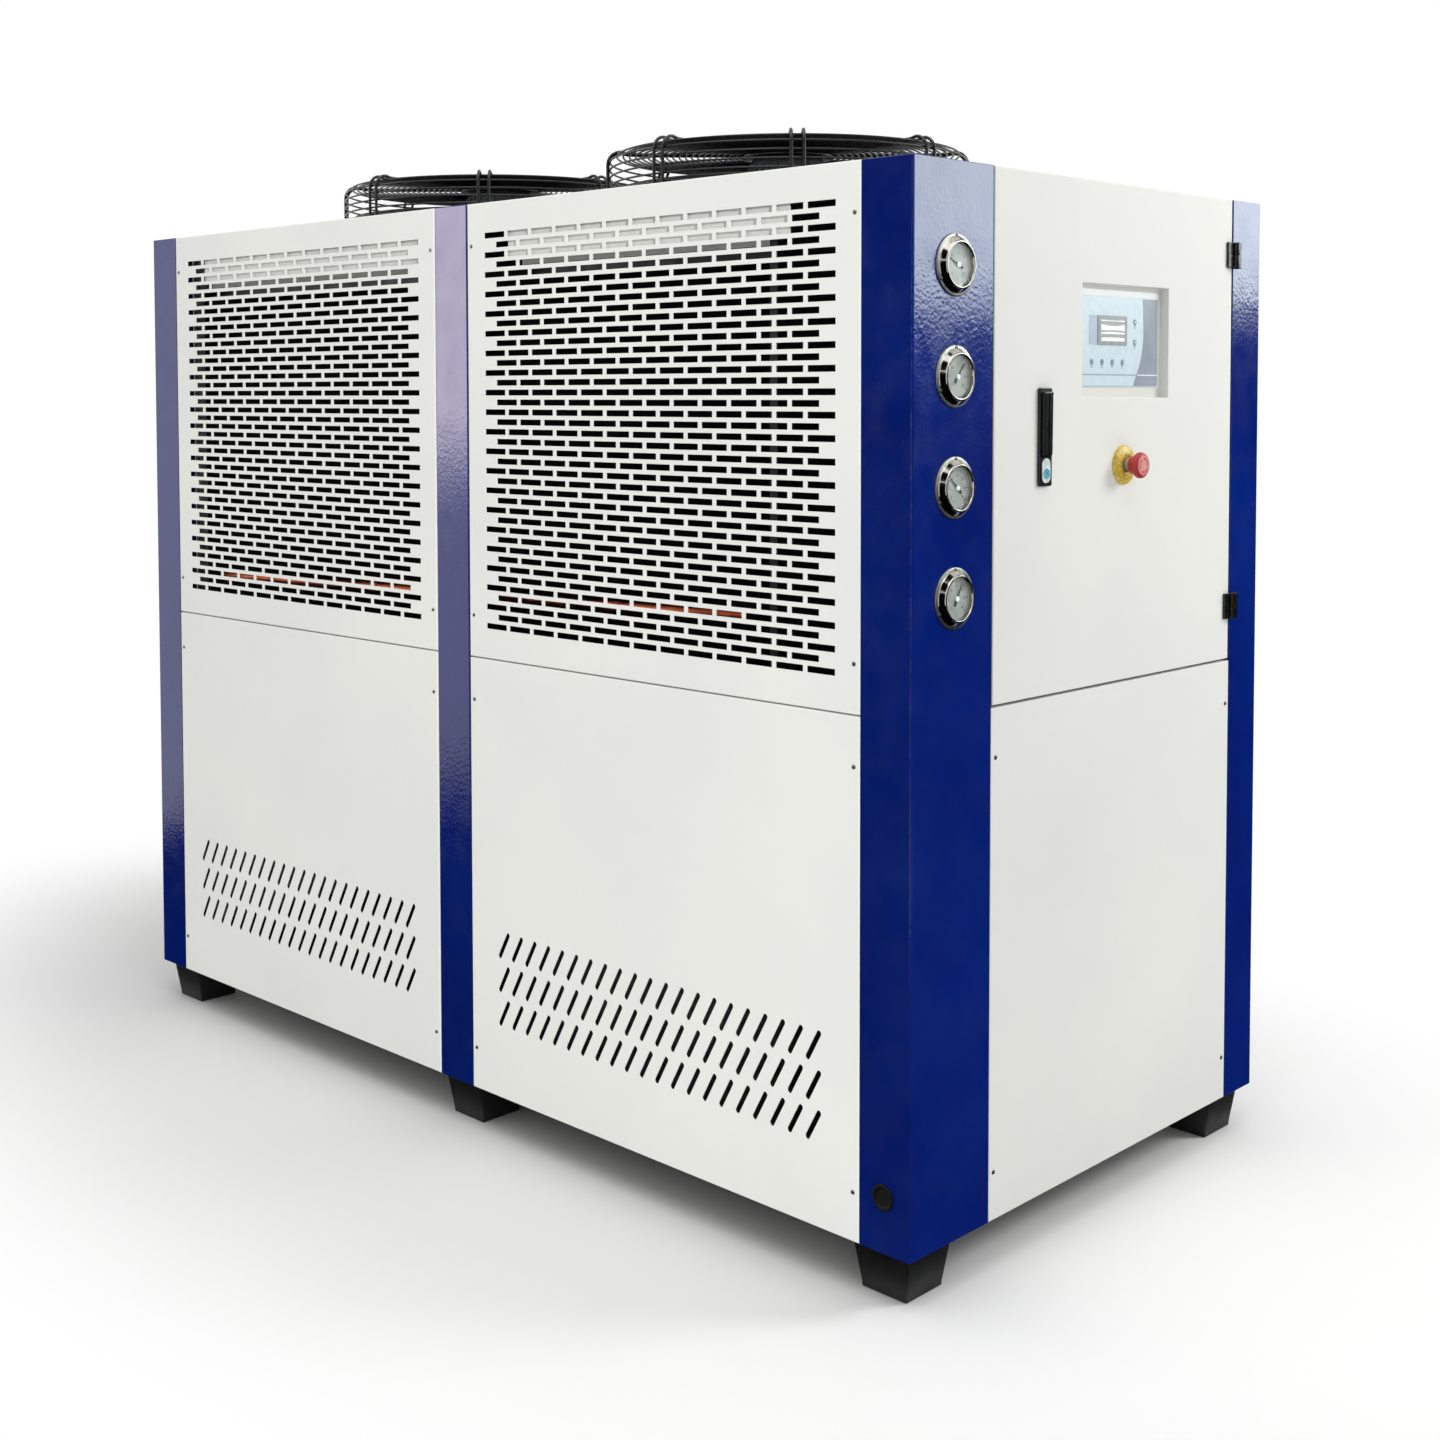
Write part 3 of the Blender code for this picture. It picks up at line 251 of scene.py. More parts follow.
GALVANISED = galvanised()
# The fins' near black colour is painted shade: bare fins deep behind the slots fall dark.
FINS = coat("aluminium_fins_in_painted_shade", 35.0, [(0.30, "#0c0d0e"), (0.70, "#1d1f21")],
            grain=(3.0, 0.1, 0.5), roughness=0.55, metallic=0.2)
COPPER = coat("drawn_copper", 45.0, [(0.25, "#8a3c22"), (0.50, "#c4623c"), (0.75, "#d98a62")],
              (20.0, 0.22, 0.45), (6.0, 0.05, 0.4), metallic=1.0)
POLISHED_STEEL = pressed_steel("polished_stainless_steel", "#a8a59d", "#c4c1ba", 0.07, 0.16)
SATIN_STEEL = pressed_steel("satin_stainless_steel", "#b2b2a8", "#c6c6bd", 0.38, 0.50)
ZINC = coat("zinc_plated_steel", 3.0, [(0.30, "#6f7274"), (0.70, "#a2a4a5")],
            roughness=0.32, metallic=1.0)
MOTOR_PAINT = coat("grey_painted_cast_aluminium", 25.0, [(0.30, "#5e6065"), (0.70, "#74777c")],
                   (12.0, 0.40, 0.60), (2.0, 0.15, 0.7))
WIRE = coat("black_epoxy_coated_wire", 15.0, [(0.30, "#040405"), (0.70, "#0d0e10")],
            (8.0, 0.24, 0.38))
print("metals", GALVANISED.name, FINS.name, COPPER.name, POLISHED_STEEL.name)

# %% [markdown]
# ## Plastic, rubber, print and glass
#
# Small parts are moulded plastic, whose mould surface leaves a fine grain, and the printed
# panels are matt polyester film. One function serves the whole family: each entry says its
# colours, shine and grain. The gauge lens is clear acrylic with a coat against glare: a
# low IOR stands for that coat, because the dials in the photograph show no mirrored lamp.

# %% Moulded and printed finishes
def moulded(name, dark, pale, low, high, grain_mm=0.8, patch_mm=12.0):
    """A moulded or printed surface with a fine, shallow grain."""
    return coat(name, patch_mm, [(0.30, dark), (0.70, pale)], (patch_mm / 2, low, high),
                (grain_mm, 0.03, 0.5))


BLACK_PLASTIC = moulded("black_nylon", "#0b0b0c", "#18191b", 0.24, 0.38)
LEVER_PLASTIC = moulded("dark_grey_zinc_lever", "#17181a", "#212326", 0.16, 0.24, 3.0, 30.0)
HINGE_BLACK = moulded("black_die_cast_zinc", "#08090a", "#151618", 0.22, 0.34)
RUBBER = moulded("black_rubber", "#070707", "#101010", 0.65, 0.85)
FAN_PLASTIC = moulded("black_glass_filled_nylon", "#0d0e10", "#1a1b1e", 0.40, 0.55)
RED_PLASTIC = moulded("red_moulded_plastic", "#a32c26", "#b73a33", 0.30, 0.42)
RED_RIM = moulded("dark_red_moulded_rim", "#b03c3c", "#c04a49", 0.28, 0.40)
# The stop button's face is drawn paler than its rim.
RED_FACE = moulded("pale_red_plastic_face", "#cd7f7e", "#dc9591", 0.36, 0.48)
# The collar's golden tone is its own, and the pale flecks of its 4 mm mottle are painted glints.
YELLOW_PLASTIC = moulded("golden_plastic_with_painted_glints", "#a88a1c", "#ecd060", 0.26, 0.42, 1.5, 4.0)
FACE_FILM = moulded("pale_blue_polyester_film", "#bfd2dc", "#c9d9e1", 0.30, 0.40)
SLATE_FILM = moulded("slate_polyester_film", "#7d8792", "#929ba9", 0.32, 0.42, 0.8, 60.0)
PRINT_BLUE = moulded("grey_blue_printed_ink", "#a3b2c3", "#adb8ca", 0.35, 0.45)
PRINT_DARK = moulded("dark_printed_ink", "#8499a5", "#8fa2ad", 0.35, 0.45)
KEY_FILM = moulded("teal_embossed_keys", "#748c94", "#829aa1", 0.28, 0.38)
PALE_PRINT_AND_REFLECTION = moulded("white_ink_and_painted_reflection", "#e9eef2", "#f4f7f9", 0.35, 0.45)
DISPLAY_FRAME = moulded("grey_display_frame", "#878f95", "#959ba0", 0.30, 0.40)
DISPLAY_GREY = moulded("grey_display_cell", "#9b9f9e", "#a8acaa", 0.20, 0.30)
DIAL_PAINT = moulded("pale_grey_dial_enamel", "#8e928d", "#9c9f9a", 0.35, 0.45)
POINTER_PAINT = moulded("black_pointer_enamel", "#1a1b1d", "#26272a", 0.35, 0.45)
KEY_CYLINDER = moulded("blue_green_key_cylinder", "#2c93a8", "#7fc3ce", 0.18, 0.30, 0.8, 4.0)
LOCK_INSERT = moulded("silver_grey_lock_insert", "#b4bfc4", "#eef2f3", 0.18, 0.30, 0.8, 9.0)
MOUNT_PLASTIC = moulded("white_mounting_frame", "#dcdfe1", "#e6e8e9", 0.35, 0.45)
SEAL_FOAM = moulded("black_foam_seal", "#060606", "#0e0e0f", 0.80, 0.95)
GAUGE_LENS = coat("clear_acrylic_gauge_lens", 30.0, [(0.30, "#f4f8f8"), (0.70, "#fbfdfd")],
                  roughness=0.02, Transmission_Weight=1.0, IOR=1.08)
print("moulded finishes ready, and", GAUGE_LENS.name)

# %% [markdown]
# ## Floor, world and lights
#
# The machine was photographed in soft light and cut out on white. The floor is pale and
# matt below the machine, so that it holds a soft shadow, and turns to plain white further
# out. The world is white where the camera, a reflection or glass sees it, and a softer
# grey where it only lights the surfaces. Three lamps light the coats: a wide one overhead,
# one from the far right that throws the stop button's shadow to its left, and a small hard
# one that rakes the front and draws the thin shadows in its slots. The last is linked to
# the front sheets alone, because it would blind the end. The other softboxes are
# there for the glossy posts, which mirror them. They stand where a ray from the camera
# would bounce to, which is worked out below from a post's place. Black cards, seen in
# reflections only, keep the rest of the blue deep and draw the dark bands on the gauges'
# bezels, as a photographer's flags do.

# %% Floor
FLOOR_SIZE = 60.0
SHADOW_REACH = 0.74
SHADOW_FADE = 0.60
MACHINE_ASPECT = 0.55


def white_where_seen(tree):
    """1 for rays from the camera, mirrors and glass, and 0 for the rest."""
    path = add_node(tree, "ShaderNodeLightPath")
    seen = path.outputs["Is Camera Ray"]
    for other in ("Is Glossy Ray", "Is Transmission Ray"):
        both = add_node(tree, "ShaderNodeMath", operation="MAXIMUM")
        tree.links.new(seen, both.inputs[0])
        tree.links.new(path.outputs[other], both.inputs[1])
        seen = both.outputs["Value"]
    return seen


def floor_finish():
    """A pale matt floor that glows white to the camera away from the machine."""
    made, tree, shader, place = new_finish("pale_studio_floor", 0.9, Specular_IOR_Level=0.1)
    tree.links.new(mottled(tree, place, 900.0, [(0.30, "#f6f6f5"), (0.70, "#fbfbfa")]),
                   shader.inputs["Base Color"])
    squeezed = add_node(tree, "ShaderNodeVectorMath", {0: place, 1: (MACHINE_ASPECT, 1.0, 1.0)},
                        operation="MULTIPLY")
    reach = add_node(tree, "ShaderNodeVectorMath", {0: squeezed.outputs["Vector"]},
                     operation="LENGTH")
    fade = add_node(tree, "ShaderNodeMapRange",
                    {"Value": reach.outputs["Value"], "From Min": SHADOW_REACH,
                     "From Max": SHADOW_REACH + SHADOW_FADE},
                    interpolation_type="SMOOTHSTEP")
    share = add_node(tree, "ShaderNodeMath",
                     {0: fade.outputs["Result"], 1: white_where_seen(tree)},
                     operation="MULTIPLY")
    glow = add_node(tree, "ShaderNodeEmission", {"Color": WHITE, "Strength": 1.0})
    mix = add_node(tree, "ShaderNodeMixShader", {0: share.outputs["Value"],
                                                 1: shader.outputs["BSDF"],
                                                 2: glow.outputs["Emission"]})
    tree.links.new(mix.outputs["Shader"], tree.nodes["Material Output"].inputs["Surface"])
    return made


def flat_stage(name, width, height, matrix, finish):
    """A flat rectangle for the stage, facing its own +Z."""
    shape = bmesh.new()
    bmesh.ops.create_grid(shape, x_segments=1, y_segments=1, size=0.5)
    bmesh.ops.scale(shape, vec=(width, height, 1.0), verts=shape.verts)
    mesh = bpy.data.meshes.new(name)
    shape.to_mesh(mesh)
    shape.free()
    mesh.materials.append(finish)
    placed = bpy.data.objects.new(name, mesh)
    placed.matrix_world = matrix
    bpy.context.scene.collection.objects.link(placed)
    return placed


flat_stage("studio_floor", FLOOR_SIZE, FLOOR_SIZE, Matrix.Identity(4), floor_finish())
print("floor", FLOOR_SIZE, "m across")

# %% World
WORLD_LIGHT = 0.56

world = bpy.data.worlds.new("soft_white_room")
bpy.context.scene.world = world
world.use_nodes = True
room = world.node_tree
room.nodes.clear()
lighting = add_node(room, "ShaderNodeBackground", {"Color": WHITE, "Strength": WORLD_LIGHT})
backdrop = add_node(room, "ShaderNodeBackground", {"Color": WHITE, "Strength": 1.0})
blend = add_node(room, "ShaderNodeMixShader", {0: white_where_seen(room),
                                               1: lighting.outputs["Background"],
                                               2: backdrop.outputs["Background"]})
add_node(room, "ShaderNodeOutputWorld", {"Surface": blend.outputs["Shader"]})
print("world lights at", WORLD_LIGHT, "and shows white")

# %% Lamps and cards
def facing(place, target):
    """A matrix at a place whose -Z looks at a target, as lamps do."""
    aim = Vector(target) - Vector(place)
    return Matrix.Translation(place) @ aim.to_track_quat("-Z", "Y").to_matrix().to_4x4()


def softbox(name, place, target, width, height, radiance, gloss_only=False, tint="#ffffff"):
    """A rectangular lamp whose face looks this bright, perhaps in reflections only."""
    light = bpy.data.lights.new(name, "AREA")
    light.shape = "RECTANGLE"
    light.size = width
    light.size_y = height
    light.energy = radiance * math.pi * width * height
    light.color = linear(tint)[:3]
    lamp = bpy.data.objects.new(name, light)
    lamp.matrix_world = facing(place, target)
    lamp.visible_camera = False
    lamp.visible_diffuse = not gloss_only
    bpy.context.scene.collection.objects.link(lamp)
    return lamp


def black_card(name, place, target, width, height):
    """A black flag that only reflections see."""
    velvet = coat(name + "_velvet", 200.0, [(0.3, "#050505"), (0.7, "#0a0a0a")],
                  roughness=1.0, Specular_IOR_Level=0.0)
    card = flat_stage(name, width, height, facing(place, target), velvet)
    card.visible_camera = False
    card.visible_diffuse = False
    card.visible_shadow = False
    card.visible_transmission = False


def beyond(point, azimuth, distance, height):
    """A place this far from a point in a compass direction, at a height."""
    turn = math.radians(azimuth)
    return (point[0] + distance * math.cos(turn), point[1] + distance * math.sin(turn), height)


def mirrored_azimuth(point, face_azimuth):
    """Where an upright face mirrors the camera to: the far side of the face's normal."""
    away = CAMERA_PLACE - Vector((*point, 0.0))
    return 2 * face_azimuth - math.degrees(math.atan2(away.y, away.x))


def upright_card(name, point, azimuth, distance, width, low, high):
    """A black card that stands upright between two heights."""
    place = beyond(point, azimuth, distance, (low + high) / 2)
    black_card(name, place, (*point, (low + high) / 2), width, high - low)


def upright_gloss(name, point, azimuth, distance, width, low, high, radiance, tint):
    """A softbox that stands upright between two heights and lights reflections only."""
    place = beyond(point, azimuth, distance, (low + high) / 2)
    softbox(name, place, (*point, (low + high) / 2), width, high - low, radiance, True, tint)


post_low, post_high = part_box("post_front_right")
RIGHT_END = (post_high.x, post_low.y + 0.045)
CORNER_FRONT = (post_high.x - 0.020, post_low.y)
MIDDLE_POST = (0.0, post_low.y)
FLOOR_CARD_RISE = 0.003
azimuths = {"right end": mirrored_azimuth(RIGHT_END, 0.0),
            "corner": mirrored_azimuth(CORNER_FRONT, -90.0) % 360,
            "middle": mirrored_azimuth(MIDDLE_POST, -90.0) % 360}

softbox("overhead_softbox", place=(0.9, -1.1, 4.2), target=(0.2, -0.3, 0.8), width=3.6,
        height=3.0, radiance=1.8)
end_lamp = softbox("end_softbox", place=beyond(RIGHT_END, 50.0, 3.5, 2.6),
                   target=(*RIGHT_END, 1.0), width=1.2, height=1.2, radiance=14.0)
end_lamp.visible_glossy = False
slot_lamp = softbox("slot_shadow_lamp", place=beyond(MIDDLE_POST, 331.0, 16.0, 3.9),
                    target=(0.0, 0.0, 1.2), width=1.3, height=1.3, radiance=310.0)
upright_gloss("right_end_gloss", RIGHT_END, azimuths["right end"] + 5.0, distance=3.6,
              width=2.4, low=1.54, high=3.00, radiance=4.6, tint="#f4fff8")
upright_gloss("middle_gloss", MIDDLE_POST, azimuths["middle"], distance=3.0, width=0.9,
              low=1.05, high=2.15, radiance=4.2, tint="#ffeff8")
upright_card("right_end_card", RIGHT_END, azimuths["right end"] + 4.0, distance=2.0,
             width=4.6, low=0.0, high=1.47)
upright_card("low_bezel_card", RIGHT_END, 332.0, distance=3.2, width=4.4, low=0.0, high=2.15)
black_card("high_bezel_card", beyond(RIGHT_END, 350.0, 2.34, 3.85), (*RIGHT_END, 1.25),
           width=4.4, height=3.4)
upright_card("front_card", CORNER_FRONT, azimuths["corner"] + 9.0, distance=2.2, width=1.9,
             low=0.0, high=2.50)
for name, x, y, width, depth in (("front_floor_card", -0.1, post_low.y - 0.95, 4.6, 1.9),
                                 ("right_floor_card", post_high.x + 1.0, 0.9, 2.0, 3.6),
                                 ("bezel_floor_card", 3.4, -2.2, 2.4, 2.6)):
    floor_place = Vector((x, y, FLOOR_CARD_RISE))
    black_card(name, floor_place, floor_place + Vector((0, 0, -1)), width, depth)
print("mirrored azimuths", {name: round(value) for name, value in azimuths.items()})

# %% [markdown]
# ## Building pieces
#
# Every piece is a mesh that rides on a body of the frame, so that it moves with the door,
# the lever or a fan. Each also hides the plain solids of the frame that it stands for. One
# function does this for all of them.

# %% Helpers for pieces
def place_piece(piece, body, nodes):
    """Set a piece on the body that it rides on, and hide the plain solids that it stands for."""
    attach(piece, body)
    if nodes:
        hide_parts(*nodes)
    return piece


def add_piece(name, shape, finish, nodes=(), body="cabinet", smooth=None):
    """Turn a bmesh into a named piece that rides on a body."""
    mesh = bpy.data.meshes.new(name)
    shape.to_mesh(mesh)
    shape.free()
    mesh.materials.append(finish)
    if smooth is not None:
        mesh.shade_smooth()
        mesh.set_sharp_from_angle(angle=math.radians(smooth))
    piece = bpy.data.objects.new(name, mesh)
    bpy.context.scene.collection.objects.link(piece)
    return place_piece(piece, body, nodes)


def thicken(piece, thickness):
    """Give an open sheet its thickness, away from the side that its faces look to."""
    sheet = piece.modifiers.new("sheet", "SOLIDIFY")
    sheet.thickness = thickness
    sheet.offset = -1.0
    sheet.use_even_offset = True
    return piece


def round_edges(piece, width, segments=3, angle=40.0):
    """Round the sharp edges of a solid."""
    bevel = piece.modifiers.new("rounded_edges", "BEVEL")
    bevel.width = width
    bevel.segments = segments
    bevel.limit_method = "ANGLE"
    bevel.angle_limit = math.radians(angle)
    bevel.harden_normals = True
    return piece


def side_space(low, high, side):
    """Panel space for one side of a box: x across, y up, z outwards, from its corner."""
    corner = {"front": (low.x, low.y), "right": (high.x, low.y),
              "rear": (high.x, high.y), "left": (low.x, high.y)}[side]
    across = {"front": (1, 0, 0), "right": (0, 1, 0),
              "rear": (-1, 0, 0), "left": (0, -1, 0)}[side]
    across = Vector(across)
    up = Vector((0, 0, 1))
    axes = Matrix((across, up, across.cross(up))).transposed().to_4x4()
    width = high.x - low.x if side in ("front", "rear") else high.y - low.y
    return Matrix.Translation((*corner, low.z)) @ axes, width, high.z - low.z


def box_shape(low, high):
    """A box between two corners, as a bmesh."""
    shape = bmesh.new()
    size = Vector(high) - Vector(low)
    matrix = (Matrix.Translation((Vector(high) + Vector(low)) / 2)
              @ Matrix.Diagonal((*size, 1.0)))
    bmesh.ops.create_cube(shape, size=1.0, matrix=matrix)
    return shape


def join(whole, mesh):
    """Add a mesh to a bmesh, and remove the mesh."""
    whole.from_mesh(mesh)
    bpy.data.meshes.remove(mesh)


def join_box(whole, low, high):
    """Add a box between two corners to a bmesh."""
    box = box_shape(low, high)
    mesh = bpy.data.meshes.new("box")
    box.to_mesh(mesh)
    box.free()
    join(whole, mesh)


def bridge(shape, rings):
    """Faces between each ring of vertices and the next. A ring may be a single point."""
    for lower, upper in zip(rings, rings[1:]):
        count = max(len(lower), len(upper))
        for step in range(count):
            after = (step + 1) % count
            loop = [lower[step % len(lower)], lower[after % len(lower)],
                    upper[after % len(upper)], upper[step % len(upper)]]
            loop = list(dict.fromkeys(loop))
            if len(loop) > 2:
                shape.faces.new(loop)


print("helpers for pieces ready")

# %% [markdown]
# ## Perforated sheet
#
# A punching press cuts the air slots out of flat sheet, row by row, before the sheet is
# folded. We build the metal between the holes in the same order: each row of holes gives
# the faces between them, and a long face closes the strip between one row and the next.
# Cutting hundreds of holes with Booleans would be slower and leave a worse mesh.

# %% Sheet with rows of holes, and folded edges
SHEET = 0.0015
FOLD_RADIUS = 0.0022
FOLD_STEPS = 4


def perforated(width, height, rows):
    """A flat sheet round rows of holes. A hole is its left and right sides, going up."""
    shape = bmesh.new()
    corners = {}

    def face(outline):
        loop = []
        for across, up in outline:
            key = (round(across, 6), round(up, 6))
            if key not in corners:
                corners[key] = shape.verts.new((across, up, 0.0))
            if corners[key] not in loop:
                loop.append(corners[key])
        shape.faces.new(loop)

    left, right = FOLD_RADIUS, width - FOLD_RADIUS
    below = [(left, FOLD_RADIUS), (right, FOLD_RADIUS)]
    for holes in rows:
        bottom = min(hole[0][0][1] for hole in holes)
        top = max(hole[0][-1][1] for hole in holes)
        starts = [side[0] for hole in holes for side in hole]
        face(below + [(right, bottom), *starts[::-1], (left, bottom)])
        walls = [[(left, bottom), (left, top)]]
        for hole_left, hole_right in holes:
            face(hole_left + walls[-1][::-1])
            walls.append(hole_right)
        face([(right, bottom), (right, top)] + walls[-1][::-1])
        below = [(left, top), *[side[-1] for hole in holes for side in hole], (right, top)]
    face(below + [(right, height - FOLD_RADIUS), (left, height - FOLD_RADIUS)])
    return shape


def bend_back(shape, low, high, depth, radius=FOLD_RADIUS, way=1.0):
    """Fold the sheet back along a rectangle: at its outer edge, or at a hole with way -1."""
    def on_border(vert):
        x, y = vert.co.x, vert.co.y
        inside = (low[0] - 1e-5 < x < high[0] + 1e-5) and (low[1] - 1e-5 < y < high[1] + 1e-5)
        near = min(abs(x - low[0]), abs(x - high[0]), abs(y - low[1]), abs(y - high[1]))
        return inside and near < 1e-5

    loop = [edge for edge in shape.edges
            if edge.is_boundary and all(on_border(vert) for vert in edge.verts)]
    sides = {vert: (round((vert.co.x - low[0]) / (high[0] - low[0]) * 2 - 1, 4),
                    round((vert.co.y - low[1]) / (high[1] - low[1]) * 2 - 1, 4))
             for edge in loop for vert in edge.verts}
    angles = [math.pi / 2 * step / FOLD_STEPS for step in range(1, FOLD_STEPS + 1)]
    stations = [(radius * math.sin(turn), radius * (1 - math.cos(turn))) for turn in angles]
    stations.append((radius, depth))
    start = {vert: vert.co.copy() for vert in sides}
    for out, back in stations:
        older = {vert for edge in loop for vert in edge.verts}
        made = bmesh.ops.extrude_edge_only(shape, edges=loop)["geom"]
        fresh = {item for item in made if isinstance(item, bmesh.types.BMVert)}
        carried = {}
        for vert in fresh:
            origin = next(edge.other_vert(vert) for edge in vert.link_edges
                          if edge.other_vert(vert) in older)
            across, up = sides[origin]
            step = Vector(((abs(across) == 1.0) * across, (abs(up) == 1.0) * up, 0.0))
            carried[vert] = (sides[origin], start[origin])
            vert.co = start[origin] + step * (out * way) + Vector((0, 0, -back))
        loop = [edge for edge in shape.edges
                if edge.is_boundary and all(vert in fresh for vert in edge.verts)]
        sides = {vert: value[0] for vert, value in carried.items()}
        start = {vert: value[1] for vert, value in carried.items()}
    return loop


def folded_panel(shape, width, height, depth):
    """Fold the four outer edges of a sheet back, as a press brake does."""
    bend_back(shape, (FOLD_RADIUS, FOLD_RADIUS),
              (width - FOLD_RADIUS, height - FOLD_RADIUS), depth)


def arc(centre, radius, start, end, steps):
    """Points on an arc between two angles in degrees."""
    angles = [math.radians(start + (end - start) * step / steps) for step in range(steps + 1)]
    return [(centre[0] + radius * math.cos(turn), centre[1] + radius * math.sin(turn))
            for turn in angles]


print("sheet is", SHEET * 1000, "mm thick, folded round", FOLD_RADIUS * 1000, "mm")

# %% [markdown]
# ## Intake panels
#
# Each upper panel has 41 rows of punched slots, 52 by 9.6 mm, laid like bricks: rows of 13
# and rows of 12 take turns. That is 513 slots a panel. The slots are true holes, so the
# dark coil and the copper line show through them. Behind the top three rows the panel's
# own top return comes down again as a white lip, close enough to the slots to catch their
# shadows. The lip stops short of the panel's ends, so a row's first slot is dark. Every
# panel also has four screw holes, which join the row at their height.

# %% Intake panels
PANEL_DEPTH = 0.020
SLOT_ROWS = 41
SLOT_ROW_PITCH = 0.01624
SLOT_LENGTH = 0.0522
SLOT_HEIGHT = 0.0096
SLOT_PITCH = 0.0596
SLOTS_IN_WIDE_ROW = 13
SCREW_FROM_SIDE = 0.0110
SCREW_FROM_END = 0.0705
SCREW_HOLE_RADIUS = 0.0034


def slot_rows(width, height):
    """Brick-laid rows of slots, centred on the panel."""
    rows = []
    for row in range(SLOT_ROWS):
        count = SLOTS_IN_WIDE_ROW - row % 2
        middle = height / 2 + (row - (SLOT_ROWS - 1) / 2) * SLOT_ROW_PITCH
        bottom, top = middle - SLOT_HEIGHT / 2, middle + SLOT_HEIGHT / 2
        holes = []
        for index in range(count):
            centre = width / 2 + (index - (count - 1) / 2) * SLOT_PITCH
            left, right = centre - SLOT_LENGTH / 2, centre + SLOT_LENGTH / 2
            holes.append(([(left, bottom), (left, top)], [(right, bottom), (right, top)]))
        rows.append(holes)
    return rows


def screw_places(width, height):
    """Where a panel's four screws go: between two rows of slots, near its sides."""
    ends = (SCREW_FROM_END, height - SCREW_FROM_END)
    return [(across, up) for up in ends for across in (SCREW_FROM_SIDE, width - SCREW_FROM_SIDE)]


def with_screw_holes(rows, width, height):
    """Add two round holes near each end, to a row at their height or as a row of their own."""
    places = screw_places(width, height)
    for pair in (places[:2], places[2:]):
        first, last = [(arc(place, SCREW_HOLE_RADIUS, 270.0, 90.0, 6),
                        arc(place, SCREW_HOLE_RADIUS, -90.0, 90.0, 6)) for place in pair]
        level = [row for row in rows if row[0][0][0][1] - SCREW_HOLE_RADIUS < pair[0][1]
                 < row[0][0][-1][1] + SCREW_HOLE_RADIUS]
        if level:
            level[0][:] = [first, *level[0], last]
        else:
            rows.append([first, last])
    return sorted(rows, key=lambda holes: holes[0][0][0][1])


def sheet_panel(name, node, side, rows_of):
    """A folded white panel in place of a plain one, with the holes that rows_of gives."""
    space, width, height = side_space(*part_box(node), side)
    shape = perforated(width, height, with_screw_holes(rows_of(width, height), width, height))
    folded_panel(shape, width, height, PANEL_DEPTH - SHEET)
    bmesh.ops.transform(shape, matrix=space, verts=shape.verts)
    return thicken(add_piece(name, shape, WHITE_COAT, [node]), SHEET)


for side in ("front", "rear"):
    for bay in ("left", "right"):
        sheet_panel(f"intake_grille_{side}_{bay}", f"intake_panel_{side}_{bay}", side,
                    slot_rows)
slots_in_panel = sum(len(row) for row in slot_rows(1.0, 1.0))
print("slots in each intake panel:", slots_in_panel)

# %% Lips behind the top slots
LIP_ROWS = 3
LIP_SETBACK = 0.0075
LIP_HEM = 0.006
LIP_LEFT_DISTANCE = 0.0985
LIP_RIGHT_DISTANCES = {"left": 0.030, "right": 0.1365}


def top_lip(side, bay):
    """The downward flange behind the top slots, with a hem folded back at its foot."""
    node = f"intake_panel_{side}_{bay}"
    low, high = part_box(node)
    inward = 1.0 if side == "front" else -1.0
    face = low.y if side == "front" else high.y
    middle = (low.z + high.z) / 2
    third_row = middle + ((SLOT_ROWS - 1) / 2 - LIP_ROWS + 1) * SLOT_ROW_PITCH
    foot = third_row - SLOT_ROW_PITCH / 2
    near, back = face + inward * LIP_SETBACK, face + inward * (LIP_SETBACK + LIP_HEM)
    outline = [(back, foot + FOLD_RADIUS), (back - inward * 0.001, foot + 0.001),
               (near + inward * 0.001, foot), (near, foot + 0.001), (near, high.z - SHEET / 2)]
    shape = bmesh.new()
    ends = [[shape.verts.new((x, y, z)) for y, z in outline]
            for x in (low.x + LIP_LEFT_DISTANCE, high.x - LIP_RIGHT_DISTANCES[bay])]
    for index in range(len(outline) - 1):
        loop = [ends[0][index], ends[1][index], ends[1][index + 1], ends[0][index + 1]]
        shape.faces.new(loop if side == "front" else loop[::-1])
    return thicken(add_piece(f"top_lip_{side}_{bay}", shape, WHITE_COAT,
                             [node]), SHEET)


for side in ("front", "rear"):
    for bay in ("left", "right"):
        top_lip(side, bay)
print("lips behind the top", LIP_ROWS, "rows of slots")

# %% [markdown]
# ## Linking the raking lamp
#
# Light linking tells a lamp which objects it may light. The raking lamp gets a collection
# of the front sheets: the intake panels, their lips and, further down, the vent panels.

# %% Raking lamp
front_sheets = bpy.data.collections.new("front_sheets")
for bay in ("left", "right"):
    for name in (f"intake_grille_front_{bay}", f"top_lip_front_{bay}"):
        front_sheets.objects.link(bpy.data.objects[name])
slot_lamp.light_linking.receiver_collection = front_sheets

# %% [markdown]
# ## Vent panels
#
# The lower panels let air to the compressors through three rows of 21 slanted vents. Each
# vent is an obround, a slot with round ends, 47 mm high and leaning 29 degrees. Its outline
# is two arcs and the straight lines between them, split at its lowest and highest point.

# %% Vent panels
VENT_HEIGHTS = (0.1456, 0.2031, 0.2606)
VENTS_IN_ROW = 21
VENT_PITCH = 0.0344
VENT_RISE = 0.047
VENT_RADIUS = 0.0045
VENT_LEAN = math.radians(29.0)
VENT_ARC_STEPS = 5


